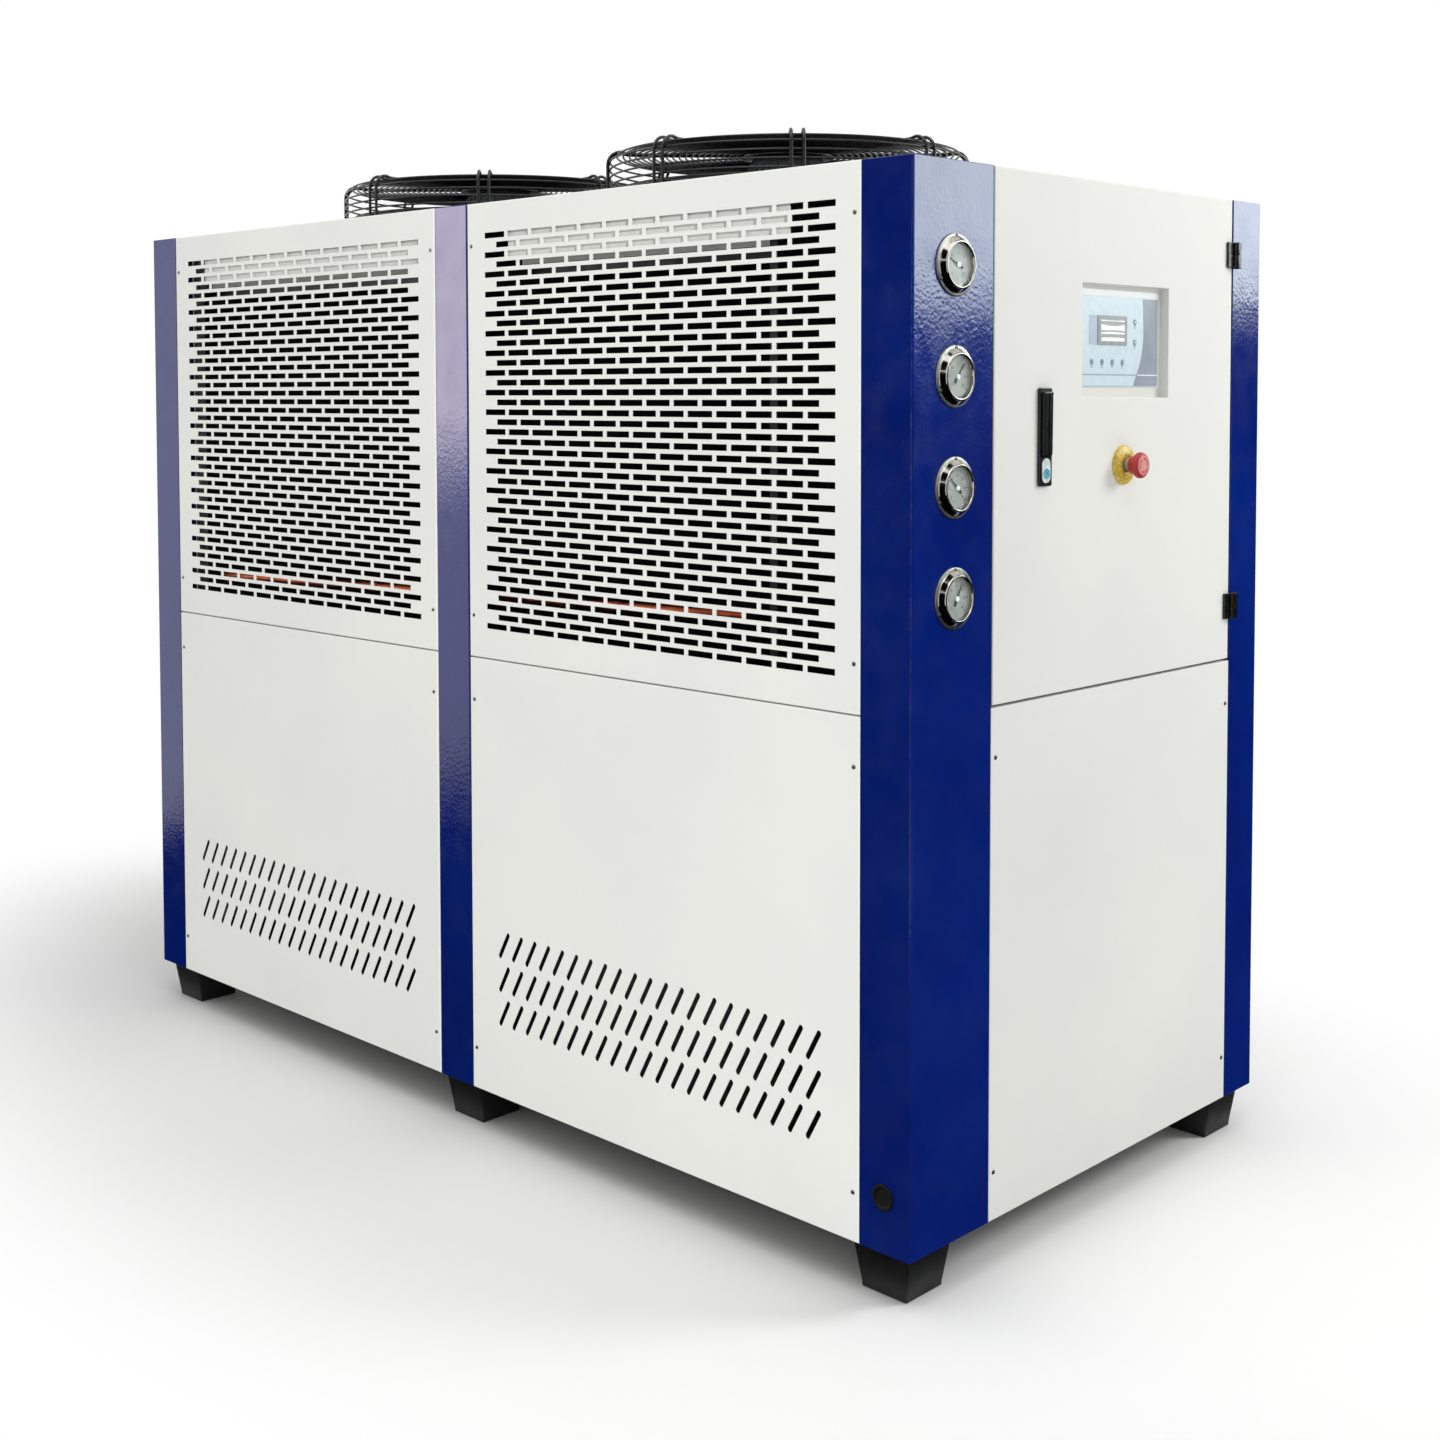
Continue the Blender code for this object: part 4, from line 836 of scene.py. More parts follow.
def slanted_vent(across, up):
    """The left and right side of one vent, each from its lowest to its highest point."""
    reach = VENT_RISE / 2 - VENT_RADIUS
    shift = reach * math.tan(VENT_LEAN)
    low, high = (across - shift, up - reach), (across + shift, up + reach)
    lean = math.degrees(VENT_LEAN)
    left = (arc(low, VENT_RADIUS, 270.0, 180.0 - lean, VENT_ARC_STEPS)
            + arc(high, VENT_RADIUS, 180.0 - lean, 90.0, VENT_ARC_STEPS))
    right = (arc(low, VENT_RADIUS, -90.0, -lean, VENT_ARC_STEPS)
             + arc(high, VENT_RADIUS, -lean, 90.0, VENT_ARC_STEPS))
    return left, right


def vent_rows(width, height):
    """Three rows of vents, centred across the panel."""
    return [[slanted_vent(width / 2 + (index - (VENTS_IN_ROW - 1) / 2) * VENT_PITCH, up)
             for index in range(VENTS_IN_ROW)] for up in VENT_HEIGHTS]


for side in ("front", "rear"):
    for bay in ("left", "right"):
        sheet = sheet_panel(f"vent_sheet_{side}_{bay}", f"vent_panel_{side}_{bay}", side,
                            vent_rows)
        if side == "front":
            front_sheets.objects.link(sheet)
print("vents in each lower panel:", len(VENT_HEIGHTS) * VENTS_IN_ROW)

# %% [markdown]
# ## End panels and the control door
#
# The ends have plain folded panels. The upper right one is the control door: its sheet is
# folded inwards round the window too, and the fold runs on as the walls of a shallow
# pocket that holds the controller. So the door's window is a hole whose edge is bent back,
# with a floor at the end of the bend.

# %% End panels and door
def no_holes(width, height):
    """A plain panel has no air slots."""
    return []


sheet_panel("end_sheet_right_lower", "end_panel_right_lower", "right", no_holes)
sheet_panel("end_sheet_left_lower", "end_panel_left_lower", "left", no_holes)
sheet_panel("end_sheet_left_upper", "end_panel_left_upper", "left", no_holes)

door_low, door_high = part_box("control_door")
face_low, face_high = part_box("controller")
WINDOW_WIDTH, WINDOW_HEIGHT = 0.242, 0.171
POCKET_DEPTH = 0.015
WINDOW_FOLD_RADIUS = 0.0015


def door_shape():
    """The door's sheet with a window whose edge is folded in and closed by a floor."""
    space, width, height = side_space(door_low, door_high, "right")
    across = (face_low.y + face_high.y) / 2 - door_low.y
    up = (face_low.z + face_high.z) / 2 - door_low.z
    half_width = WINDOW_WIDTH / 2 + WINDOW_FOLD_RADIUS
    half_height = WINDOW_HEIGHT / 2 + WINDOW_FOLD_RADIUS
    left, right = across - half_width, across + half_width
    bottom, top = up - half_height, up + half_height
    window = ([(left, bottom), (left, top)], [(right, bottom), (right, top)])
    shape = perforated(width, height, [[window]])
    floor = bend_back(shape, (left, bottom), (right, top), POCKET_DEPTH,
                      WINDOW_FOLD_RADIUS, -1.0)
    bmesh.ops.contextual_create(shape, geom=floor)
    folded_panel(shape, width, height, PANEL_DEPTH - SHEET)
    bmesh.ops.transform(shape, matrix=space, verts=shape.verts)
    return shape


thicken(add_piece("door_sheet", door_shape(), WHITE_COAT,
                  ["control_door"], "door"), SHEET)
print("door pocket is", round(1000 * POCKET_DEPTH, 1), "mm deep")

# %% [markdown]
# ## Posts
#
# The posts are blue folded sheet too: angles at the corners and channels in the middle,
# closed at the top and bottom. A box with its inner sides left open, a bevel along its
# folds and Solidify for the thickness give exactly that. The real gauge post is drilled for
# the gauges and the cable grommet, but their flanges hide the holes, so it is drawn whole.

# %% Posts
POST_SHEET = 0.0025
POST_FOLD = 0.003
POST_END_FOLD = 0.001
OPEN_SIDES = {
    "post_front_right": [(-1, 0, 0), (0, 1, 0)], "post_front_left": [(1, 0, 0), (0, 1, 0)],
    "post_rear_right": [(-1, 0, 0), (0, -1, 0)], "post_rear_left": [(1, 0, 0), (0, -1, 0)],
    "post_front_middle": [(0, 1, 0)], "post_rear_middle": [(0, -1, 0)],
}


def folded_post(node, open_sides):
    """A box with its inner sides left open, its folds rounded, and a sheet's thickness."""
    shape = box_shape(*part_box(node))
    shape.normal_update()
    bmesh.ops.delete(shape, context="FACES", geom=[
        face for face in shape.faces
        if any(face.normal.dot(Vector(side)) > 0.9 for side in open_sides)])
    for offset, upright in ((POST_FOLD, True), (POST_END_FOLD, False)):
        folds = [edge for edge in shape.edges if not edge.is_boundary
                 and (abs(edge.verts[0].co.z - edge.verts[1].co.z) > 0.5) == upright
                 and edge.calc_face_angle(0.0) > 1.0]
        bmesh.ops.bevel(shape, geom=folds, offset=offset, segments=3, profile=0.5,
                        affect="EDGES", clamp_overlap=True)
    name = node.replace("post", "blue_post")
    return thicken(add_piece(name, shape, BLUE_COAT, [node]),
                   POST_SHEET)


posts = {node: folded_post(node, sides) for node, sides in OPEN_SIDES.items()}
print("posts", len(posts))

# %% [markdown]
# ## Door seal
#
# A strip of black foam lines the gap between the gauge post and what stands beside it. It
# makes the dark line there. It is a thin bar with rounded edges, a little below the faces.

# %% Door seal
SEAL_SETBACK = 0.0012
SEAL_DEPTH = 0.010
SEAL_THICKNESS = 0.0030
SEAL_CLEARANCE = 0.0002
SEAL_ROUNDING = 0.0006

post_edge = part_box("post_front_right")[1].y
seal_start = post_edge + SEAL_CLEARANCE
seal = box_shape((door_high.x - SEAL_SETBACK - SEAL_DEPTH, seal_start, door_low.z),
                 (door_high.x - SEAL_SETBACK, seal_start + SEAL_THICKNESS, door_high.z))
round_edges(add_piece("black_foam_door_seal", seal, SEAL_FOAM),
            SEAL_ROUNDING, 2)
print("door seal", round(door_high.z - door_low.z, 3), "m long")

# %% [markdown]
# ## Base, shelf, bulkhead and deck
#
# These plain sheets are right as they are in the frame, so only their finish changes. The
# tray under the cabinet is coated black. The bulkhead behind the door is bare galvanised
# sheet, drawn black here as painted shade, so that the control space seen through the front
# slots stays dark. The shelf is bare galvanised sheet, and the fan deck is coated white,
# with the baffles that hang from it.

# %% Finishes on the frame's own sheets
def refinish(node, finish):
    """Give a solid of the frame a procedural finish."""
    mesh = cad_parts[node].data
    mesh.materials.clear()
    mesh.materials.append(finish)


# The bulkhead's black coat is painted shade for the dark control space behind the door.
for node, finish in {"base_tray": BLACK_COAT_AND_SHADE, "middle_shelf": GALVANISED,
                     "control_bulkhead": BLACK_COAT_AND_SHADE, "fan_deck": WHITE_COAT}.items():
    refinish(node, finish)
print("refinished the tray, shelf, bulkhead and deck")

# %% [markdown]
# ## Feet
#
# Six pressed steel feet taper towards the floor. Each keeps its place and taper from the
# frame, and gets rounded corners and a thin pad at the bottom.

# %% Feet
FOOT_PAD = 0.006
FOOT_TAPER = 0.81


def foot_shape(low, high):
    """A tapered foot with a straight pad at its base."""
    middle = (low + high) / 2
    top_half = (high.x - low.x) / 2
    base_half = top_half * FOOT_TAPER
    shape = bmesh.new()
    levels = [(base_half, low.z), (base_half, low.z + FOOT_PAD), (top_half, high.z)]
    rings = []
    for half, up in levels:
        rings.append([shape.verts.new((middle.x + x * half, middle.y + y * half, up))
                      for x, y in ((-1, -1), (1, -1), (1, 1), (-1, 1))])
    bridge(shape, rings)
    shape.faces.new(rings[0][::-1])
    shape.faces.new(rings[-1])
    return shape


feet = [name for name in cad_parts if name.startswith("foot_")]
for node in sorted(feet):
    foot = add_piece(node.replace("foot", "black_foot"), foot_shape(*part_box(node)),
                     BLACK_COAT_AND_SHADE, [node])
    round_edges(foot, 0.003, 3)
print("feet", len(feet))

# %% [markdown]
# ## Turned parts
#
# Rings, dials, motors, buttons and couplings are lathe work. Each is a profile of corners,
# rounded where they should be, and turned about an axis.

# %% Profiles and turning
def rounded(profile, steps=3):
    """Round the corners of a profile. A corner is (radius, height, rounding)."""
    points = []
    for index, (across, up, rounding) in enumerate(profile):
        corner = Vector((across, up))
        if rounding == 0.0 or index in (0, len(profile) - 1):
            points.append(corner)
            continue
        before = Vector(profile[index - 1][:2]) - corner
        after = Vector(profile[index + 1][:2]) - corner
        start = corner + before.normalized() * min(rounding, before.length * 0.49)
        end = corner + after.normalized() * min(rounding, after.length * 0.49)
        for step in range(steps + 1):
            share = step / steps
            points.append(start.lerp(corner, share).lerp(corner.lerp(end, share), share))
    return points


def turned(profile, steps=48, centre=(0, 0, 0), axis=(0, 0, 1), shape=None):
    """Turn a profile of (radius, height) points about an axis, into a bmesh."""
    if shape is None:
        shape = bmesh.new()
    turn = Vector((0, 0, 1)).rotation_difference(Vector(axis)).to_matrix().to_4x4()
    matrix = Matrix.Translation(centre) @ turn
    angles = [math.tau * step / steps for step in range(steps)]
    rings = []
    for across, up in profile:
        if across < 1e-6:
            rings.append([shape.verts.new(matrix @ Vector((0, 0, up)))])
            continue
        rings.append([shape.verts.new(matrix @ Vector((across * math.cos(angle),
                                                       across * math.sin(angle), up)))
                      for angle in angles])
    bridge(shape, rings)
    return shape


print("profiles are rounded, then turned")

# %% [markdown]
# ## Condenser coils and the copper line
#
# A coil is a stack of thin aluminium fins on copper tubes, in a folded casing. Behind the
# slots it reads as deep black with a fine upright ribbing. Real fins stand 2 mm apart, and
# they are real folds here: a zigzag sheet on each face. The copper line crosses in front,
# with a short brazed coupling at each of its joints.

# %% Coils and copper line
FIN_PITCH = 0.0022
FIN_DEPTH = 0.006
FIN_SETBACK = 0.0005
COIL_CASING = 0.012


def coil_shape(low, high):
    """Two upright sheets folded into fins, one on each long face of the coil."""
    shape = bmesh.new()
    x0, x1 = low.x + COIL_CASING, high.x - COIL_CASING
    z0, z1 = low.z + COIL_CASING, high.z - COIL_CASING
    folds = round((x1 - x0) / FIN_PITCH * 2)
    for outer, inner in ((low.y + FIN_SETBACK, low.y + FIN_SETBACK + FIN_DEPTH),
                         (high.y - FIN_SETBACK, high.y - FIN_SETBACK - FIN_DEPTH)):
        columns = []
        for fold in range(folds + 1):
            x = x0 + (x1 - x0) * fold / folds
            y = outer if fold % 2 == 0 else inner
            columns.append([shape.verts.new((x, y, z)) for z in (z0, z1)])
        for first, second in zip(columns, columns[1:]):
            loop = (first[0], second[0], second[1], first[1])
            shape.faces.new(loop if outer < inner else loop[::-1])
    return shape


def frame_shape(low, high):
    """Four bars of sheet round the coil."""
    whole = bmesh.new()
    join_box(whole, low, (high.x, high.y, low.z + COIL_CASING))
    join_box(whole, (low.x, low.y, high.z - COIL_CASING), high)
    for x in (low.x, high.x - COIL_CASING):
        join_box(whole, (x, low.y, low.z + COIL_CASING),
                 (x + COIL_CASING, high.y, high.z - COIL_CASING))
    return whole


for side in ("front", "rear"):
    node = f"condenser_coil_{side}"
    add_piece(f"coil_fins_{side}", coil_shape(*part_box(node)), FINS, [node])
    add_piece(f"coil_casing_{side}", frame_shape(*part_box(node)), BLACK_COAT_AND_SHADE,
              [node])


def tube_curve(name, paths, radius, finish, nodes=(), body="cabinet", roundness=3):
    """Bars or tubes along paths. A path is its points, and whether it closes on itself."""
    curve = bpy.data.curves.new(name, "CURVE")
    curve.dimensions = "3D"
    curve.bevel_depth = radius
    curve.bevel_resolution = roundness
    curve.use_fill_caps = True
    for points, closed in paths:
        spline = curve.splines.new("POLY")
        spline.points.add(len(points) - 1)
        for knot, point in zip(spline.points, points):
            knot.co = (*point, 1.0)
        spline.use_cyclic_u = closed
        spline.use_smooth = True
    curve.materials.append(finish)
    piece = bpy.data.objects.new(name, curve)
    bpy.context.scene.collection.objects.link(piece)
    return place_piece(piece, body, nodes)


line_low, line_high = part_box("liquid_line")
LINE_RADIUS = (line_high.y - line_low.y) / 2
line_start = Vector((line_low.x, line_low.y + LINE_RADIUS, line_low.z + LINE_RADIUS))
line_end = Vector((line_high.x, line_low.y + LINE_RADIUS, line_high.z - LINE_RADIUS))
tube_curve("copper_liquid_line", [([line_start, line_end], False)], LINE_RADIUS, COPPER,
           ["liquid_line"], roundness=5)
along = (line_end - line_start).normalized()
COUPLING = rounded([(LINE_RADIUS - 0.0004, -0.016, 0.0), (LINE_RADIUS + 0.0012, -0.0155, 0.0005),
                    (LINE_RADIUS + 0.0014, 0.0155, 0.0005), (LINE_RADIUS - 0.0004, 0.016, 0.0)])
COUPLING_SHARES = (0.35, 0.52, 0.80)
couplings = bmesh.new()
for share in COUPLING_SHARES:
    turned(COUPLING, 24, line_start.lerp(line_end, share), along, couplings)
bmesh.ops.recalc_face_normals(couplings, faces=couplings.faces)
add_piece("brazed_couplings", couplings, COPPER, ["liquid_line"], smooth=40.0)
print("fins", round(FIN_PITCH * 1000, 1), "mm apart, couplings", len(COUPLING_SHARES))

# %% [markdown]
# ## Fan rings
#
# Each fan blows up through a spun sheet metal ring, which stands on the deck with a flat
# flange and ends in a rolled rim. It is a profile turned about the fan's axis.

# %% Fan rings
def turned_piece(name, profile, centre, axis, finish, nodes=(), body="cabinet",
                 steps=48, smooth=35.0):
    """A piece turned from one profile."""
    shape = turned(profile, steps, centre, axis)
    bmesh.ops.recalc_face_normals(shape, faces=shape.faces)
    return add_piece(name, shape, finish, nodes, body, smooth)


fans = {}
for side in ("left", "right"):
    ring_low, ring_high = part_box(f"fan_ring_{side}")
    middle = (ring_low + ring_high) / 2
    flange = (ring_high.x - ring_low.x) / 2
    guard_low, guard_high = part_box(f"fan_guard_{side}")
    motor_low, motor_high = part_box(f"fan_motor_{side}")
    fans[side] = {"centre": Vector((middle.x, middle.y, 0.0)), "flange": flange,
                  "ring_bottom": ring_low.z, "ring_top": ring_high.z,
                  "foot": guard_low.z, "guard_top": guard_high.z,
                  "motor_low": motor_low, "motor_high": motor_high}

RING_RADIUS = 0.285
RING_WALL = 0.0025
RIM_ROLL = 0.006
FLANGE_SHEET = 0.003
GUARD_CLEARANCE = 0.0003
for side, fan in fans.items():
    outer = RING_RADIUS + RING_WALL
    base = fan["foot"] - GUARD_CLEARANCE - FLANGE_SHEET
    top = fan["ring_top"]
    profile = rounded([
        (outer, fan["ring_bottom"], 0.0), (outer, base, 0.0), (fan["flange"], base, 0.0),
        (fan["flange"], base + FLANGE_SHEET, 0.001),
        (outer + 0.001, base + FLANGE_SHEET, 0.004),
        (outer, top - RIM_ROLL, 0.002), (outer + RIM_ROLL, top - RIM_ROLL, 0.003),
        (outer + RIM_ROLL, top, 0.003), (RING_RADIUS, top, 0.003),
        (RING_RADIUS, fan["ring_bottom"], 0.0), (outer, fan["ring_bottom"], 0.0)])
    turned_piece(f"rolled_fan_ring_{side}", profile, fan["centre"], (0, 0, 1), BLACK_COAT_AND_SHADE,
                 [f"fan_ring_{side}"], steps=96)
print("fan centres", [tuple(round(v, 3) for v in fan["centre"]) for fan in fans.values()])

# %% [markdown]
# ## Fan guards
#
# A guard is welded wire: many thin rings on eight pairs of thick legs. Each leg rises from
# the ring's flange, bends over in a rounded hump and runs in to a plate over the motor.
# Curves with a round bevel are the natural way to draw wire. Rings and legs are two curve
# objects, because their wire differs in thickness.

# %% Fan guards
RING_WIRE = 0.0018
LEG_WIRE = 0.0028
LEG_GAP = 0.020
LEG_PAIRS = 8
LEG_RADIUS = 0.3126
LEG_REACH_IN = 0.010
HUMP_RADIUS = 0.022
HUMP_RISE = 0.0045
TOP_RINGS = 20
SIDE_RINGS = 6
HUB_RADIUS = 0.080
HUB_PLATE = 0.004
RING_FROM_LEG = 0.012
RING_BELOW_CROWN = 0.010
WELD_DEPTH = 0.0006
RING_POINTS = 96


def leg_path(fan, angle, aside):
    """One leg wire, at an angle round the fan and a little aside from its pair's middle."""
    top = fan["guard_top"] - LEG_WIRE
    inner = top - HUMP_RISE
    outline = [(LEG_RADIUS, fan["foot"] + LEG_WIRE)]
    outline += arc((LEG_RADIUS - HUMP_RADIUS, top - HUMP_RADIUS), HUMP_RADIUS, 0.0, 90.0, 5)
    outline += [(LEG_RADIUS - 0.034, top - 0.003), (LEG_RADIUS - 0.048, inner + 0.001),
                (LEG_RADIUS - 0.062, inner), (HUB_RADIUS - LEG_REACH_IN, inner)]
    out = Vector((math.cos(angle), math.sin(angle), 0.0))
    beside = Vector((-math.sin(angle), math.cos(angle), 0.0)) * aside
    return [fan["centre"] + out * across + beside + Vector((0, 0, up))
            for across, up in outline]


def ring_path(fan, radius, up):
    """One ring wire round the fan's axis."""
    return [fan["centre"] + Vector((radius * math.cos(math.tau * step / RING_POINTS),
                                    radius * math.sin(math.tau * step / RING_POINTS), up))
            for step in range(RING_POINTS)]


for side, fan in fans.items():
    node = f"fan_guard_{side}"
    legs = [(leg_path(fan, math.tau * pair / LEG_PAIRS, aside * LEG_GAP / 2), False)
            for pair in range(LEG_PAIRS) for aside in (-1, 1)]
    tube_curve(f"guard_legs_{side}", legs, LEG_WIRE, WIRE, [node])
    under_legs = fan["guard_top"] - LEG_WIRE - HUMP_RISE - LEG_WIRE
    crown = under_legs - RING_WIRE + WELD_DEPTH
    outermost = LEG_RADIUS - LEG_WIRE - RING_WIRE + WELD_DEPTH
    innermost = HUB_RADIUS + RING_FROM_LEG
    radii = [innermost + (outermost - RING_FROM_LEG - innermost) * step / (TOP_RINGS - 1)
             for step in range(TOP_RINGS)]
    rings = [(ring_path(fan, radius, crown), True) for radius in radii]
    wall = crown - RING_BELOW_CROWN - fan["foot"]
    lowest = fan["foot"] + RING_FROM_LEG
    rings += [(ring_path(fan, outermost, lowest + (wall - RING_FROM_LEG) * step
                         / (SIDE_RINGS - 1)), True) for step in range(SIDE_RINGS)]
    tube_curve(f"guard_rings_{side}", rings, RING_WIRE, WIRE, [node],
               roundness=2)
    plate_low = under_legs - HUB_PLATE
    plate = rounded([(0.0, under_legs, 0.0), (HUB_RADIUS, under_legs, 0.002),
                     (HUB_RADIUS, plate_low, 0.001), (0.0, plate_low, 0.0)])
    turned_piece(f"guard_hub_plate_{side}", plate, fan["centre"], (0, 0, 1), BLACK_COAT_AND_SHADE,
                 [node], steps=64)
print("guard wires a fan:", TOP_RINGS + SIDE_RINGS, "rings and", 2 * LEG_PAIRS, "legs")

# %% [markdown]
# ## Motors and rotors
#
# The motor hangs below the guard's plate: a cast body with upright cooling ribs and a
# smooth end bell. The rotor under it has a round hub and five twisted blades. A blade is a
# cambered sheet: a grid from root to tip whose pitch falls and whose chord grows outwards,
# given its thickness by Solidify.

# %% Motors and rotors
MOTOR_RIBS = 28
RIB_DEPTH = 0.005
RIB_LENGTH, RIB_THICKNESS = 0.0085, 0.003
RIB_FROM_END = 0.014
ROTOR_TOP = 1.553
ROTOR_DEPTH = 0.062
ROTOR_RADIUS = 0.085
TIP_RADIUS = 0.266
BLADES = 5
BLADE_DROP = 0.033
BLADE_THICKNESS = 0.003
BLADE_STEPS = 10
ROOT_CHORD, CHORD_GROWTH = 0.110, 0.036
ROOT_PITCH, PITCH_FALL = 37.0, 15.0
BLADE_SWEEP = 0.16
BLADE_CAMBER = 0.055
BLADE_FLATTENING = 0.86
ROOT_SINK = 0.004


def motor_shape(fan):
    """A turned motor body whose middle is pushed out into ribs."""
    low, high = fan["motor_low"], fan["motor_high"]
    radius = (high.x - low.x) / 2
    top, bottom = high.z, low.z
    core = radius - RIB_DEPTH
    profile = rounded([(0.0, bottom, 0.0), (core - 0.006, bottom, 0.004),
                       (core, bottom + 0.010, 0.003), (core, top - 0.010, 0.003),
                       (core - 0.006, top, 0.004), (0.0, top, 0.0)])
    shape = turned(profile, 56, fan["centre"])
    for rib in range(MOTOR_RIBS):
        angle = math.tau * rib / MOTOR_RIBS
        turn = Matrix.Translation(fan["centre"]) @ Matrix.Rotation(angle, 4, "Z")
        size = Matrix.Diagonal((RIB_LENGTH, RIB_THICKNESS, top - bottom - 2 * RIB_FROM_END, 1.0))
        matrix = turn @ Matrix.Translation((core + 0.0005, 0, (top + bottom) / 2)) @ size
        bmesh.ops.create_cube(shape, size=1.0, matrix=matrix)
    bmesh.ops.recalc_face_normals(shape, faces=shape.faces)
    return shape


def blade_grid(shape, fan, angle):
    """One cambered, twisted blade as an open grid of faces."""
    root = ROTOR_RADIUS - ROOT_SINK
    grid = []
    for station in range(BLADE_STEPS + 1):
        share = station / BLADE_STEPS
        radius = root + (TIP_RADIUS - root) * share
        chord = ROOT_CHORD + CHORD_GROWTH * share
        pitch = math.radians(ROOT_PITCH - PITCH_FALL * share)
        sweep = angle + BLADE_SWEEP * share * share
        row = []
        for step in range(BLADE_STEPS + 1):
            along = step / BLADE_STEPS - 0.5
            camber = BLADE_CAMBER * chord * (1 - 4 * along * along)
            across = along * chord * math.cos(pitch) - camber * math.sin(pitch)
            rise = along * chord * math.sin(pitch) + camber * math.cos(pitch)
            turn = sweep + across / radius
            row.append(shape.verts.new((fan["centre"].x + radius * math.cos(turn),
                                        fan["centre"].y + radius * math.sin(turn),
                                        ROTOR_TOP - BLADE_DROP + rise * BLADE_FLATTENING)))
        grid.append(row)
    for first, second in zip(grid, grid[1:]):
        for step in range(BLADE_STEPS):
            shape.faces.new((first[step], second[step], second[step + 1], first[step + 1]))


for side, fan in fans.items():
    shaft_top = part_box(f"fan_rotor_{side}")[1].z
    body = f"{side}_fan"
    add_piece(f"ribbed_motor_{side}", motor_shape(fan), MOTOR_PAINT,
              [f"fan_motor_{side}"], smooth=35.0)
    hub_low = ROTOR_TOP - ROTOR_DEPTH
    hub = rounded([(0.0, shaft_top, 0.0), (0.012, shaft_top, 0.001),
                   (0.012, ROTOR_TOP, 0.002), (ROTOR_RADIUS, ROTOR_TOP, 0.006),
                   (ROTOR_RADIUS, hub_low, 0.003), (0.0, hub_low, 0.0)])
    turned_piece(f"rotor_hub_{side}", hub, fan["centre"], (0, 0, 1), FAN_PLASTIC,
                 [f"fan_rotor_{side}"], body, 64)
    blades = bmesh.new()
    for blade in range(BLADES):
        blade_grid(blades, fan, math.tau * blade / BLADES)
    bmesh.ops.recalc_face_normals(blades, faces=blades.faces)
    rotor = add_piece(f"rotor_blades_{side}", blades, FAN_PLASTIC,
                      [f"fan_rotor_{side}"], body, smooth=60.0)
    thicken(rotor, BLADE_THICKNESS)
print("each rotor has", BLADES, "blades")

# %% [markdown]
# ## Pressure gauges
#
# Four flanged gauges sit in the gauge post. Each has a bright pressed flange held by three
# screws, a conical bezel, a clear glass, and a grey dial with a scale, plain numbers and a
# pointer. A gauge is built flat in dial space, x to the right and z towards the reader,
# and then set on the post. Turned profiles make the metal and the glass.

# %% Gauge helpers
def dial_space(centre):
    """Space on the right end: x across to the rear, y up, z outwards."""
    axes = Matrix((Vector((0, 1, 0)), Vector((0, 0, 1)), Vector((1, 0, 0)))).transposed()
    return Matrix.Translation(centre) @ axes.to_4x4()


def prism(shape, outline, low, high):
    """Raise a flat outline of points from one height to another."""
    base = [shape.verts.new((x, y, low)) for x, y in outline]
    top = [shape.verts.new((x, y, high)) for x, y in outline]
    shape.faces.new(top)
    shape.faces.new(base[::-1])
    bridge(shape, [base, top])


def turned_points(outline, angle):
    """Turn flat points about the middle of the dial."""
    cosine, sine = math.cos(angle), math.sin(angle)
    return [(x * cosine - y * sine, x * sine + y * cosine) for x, y in outline]


def rounded_rectangle(left, bottom, right, top, radius, steps=4):
    """An outline with round corners, anticlockwise."""
    corners = [((right - radius, top - radius), 0.0), ((left + radius, top - radius), 90.0),
               ((left + radius, bottom + radius), 180.0),
               ((right - radius, bottom + radius), 270.0)]
    return [point for centre, start in corners
            for point in arc(centre, radius, start, start + 90.0, steps)]


def in_space(name, shape, space, finish, nodes=(), body="door", smooth=30.0):
    """Finish a piece that was built flat and set it in its place."""
    bmesh.ops.recalc_face_normals(shape, faces=shape.faces)
    bmesh.ops.transform(shape, matrix=space, verts=shape.verts)
    return add_piece(name, shape, finish, nodes, body, smooth)


def add_number(shape, text, size, centre, height):
    """Add a printed number to a flat shape, centred on a point."""
    letters = bpy.data.curves.new("number", "FONT")
    letters.body = text
    letters.size = size
    letters.align_x = "CENTER"
    letters.align_y = "CENTER"
    letters.extrude = 0.0001
    letters.resolution_u = 2
    source = bpy.data.objects.new("number", letters)
    bpy.context.scene.collection.objects.link(source)
    graph = bpy.context.evaluated_depsgraph_get()
    mesh = bpy.data.meshes.new_from_object(source.evaluated_get(graph))
    mesh.transform(Matrix.Translation((*centre, height)))
    bpy.data.objects.remove(source)
    join(shape, mesh)


print("dial helpers ready")

# %% Gauges
DIAL_RADIUS = 0.0283
DIAL_HEIGHT = 0.0046
SCALE_START, SCALE_SWEEP = 225.0, -270.0
MAJOR_TICKS = 6
MINOR_PER_MAJOR = 5
POINTER_ANGLES = {1: 155.0, 2: 52.0, 3: 140.0, 4: 62.0}

FLANGE = rounded([
    (0.0290, -0.030, 0.0), (0.0290, 0.0003, 0.0), (0.0430, 0.0003, 0.0),
    (0.0430, 0.0022, 0.0012), (0.0395, 0.0030, 0.002), (0.0340, 0.0030, 0.0010),
    (0.0330, 0.0020, 0.0), (0.0290, 0.0020, 0.0)], 4)
BEZEL = rounded([
    (0.0300, 0.0018, 0.0), (0.0396, 0.0018, 0.0), (0.0390, 0.0040, 0.001),
    (0.0330, 0.0100, 0.001), (0.0324, 0.0118, 0.0010), (0.0302, 0.0118, 0.0010),
    (0.0290, 0.0086, 0.001), (0.0284, DIAL_HEIGHT - 0.0006, 0.0),
    (0.0, DIAL_HEIGHT - 0.0006, 0.0)], 4)
BACK = rounded([(0.0, -0.030, 0.0), (0.0290, -0.030, 0.002), (0.0290, -0.0295, 0.0)])
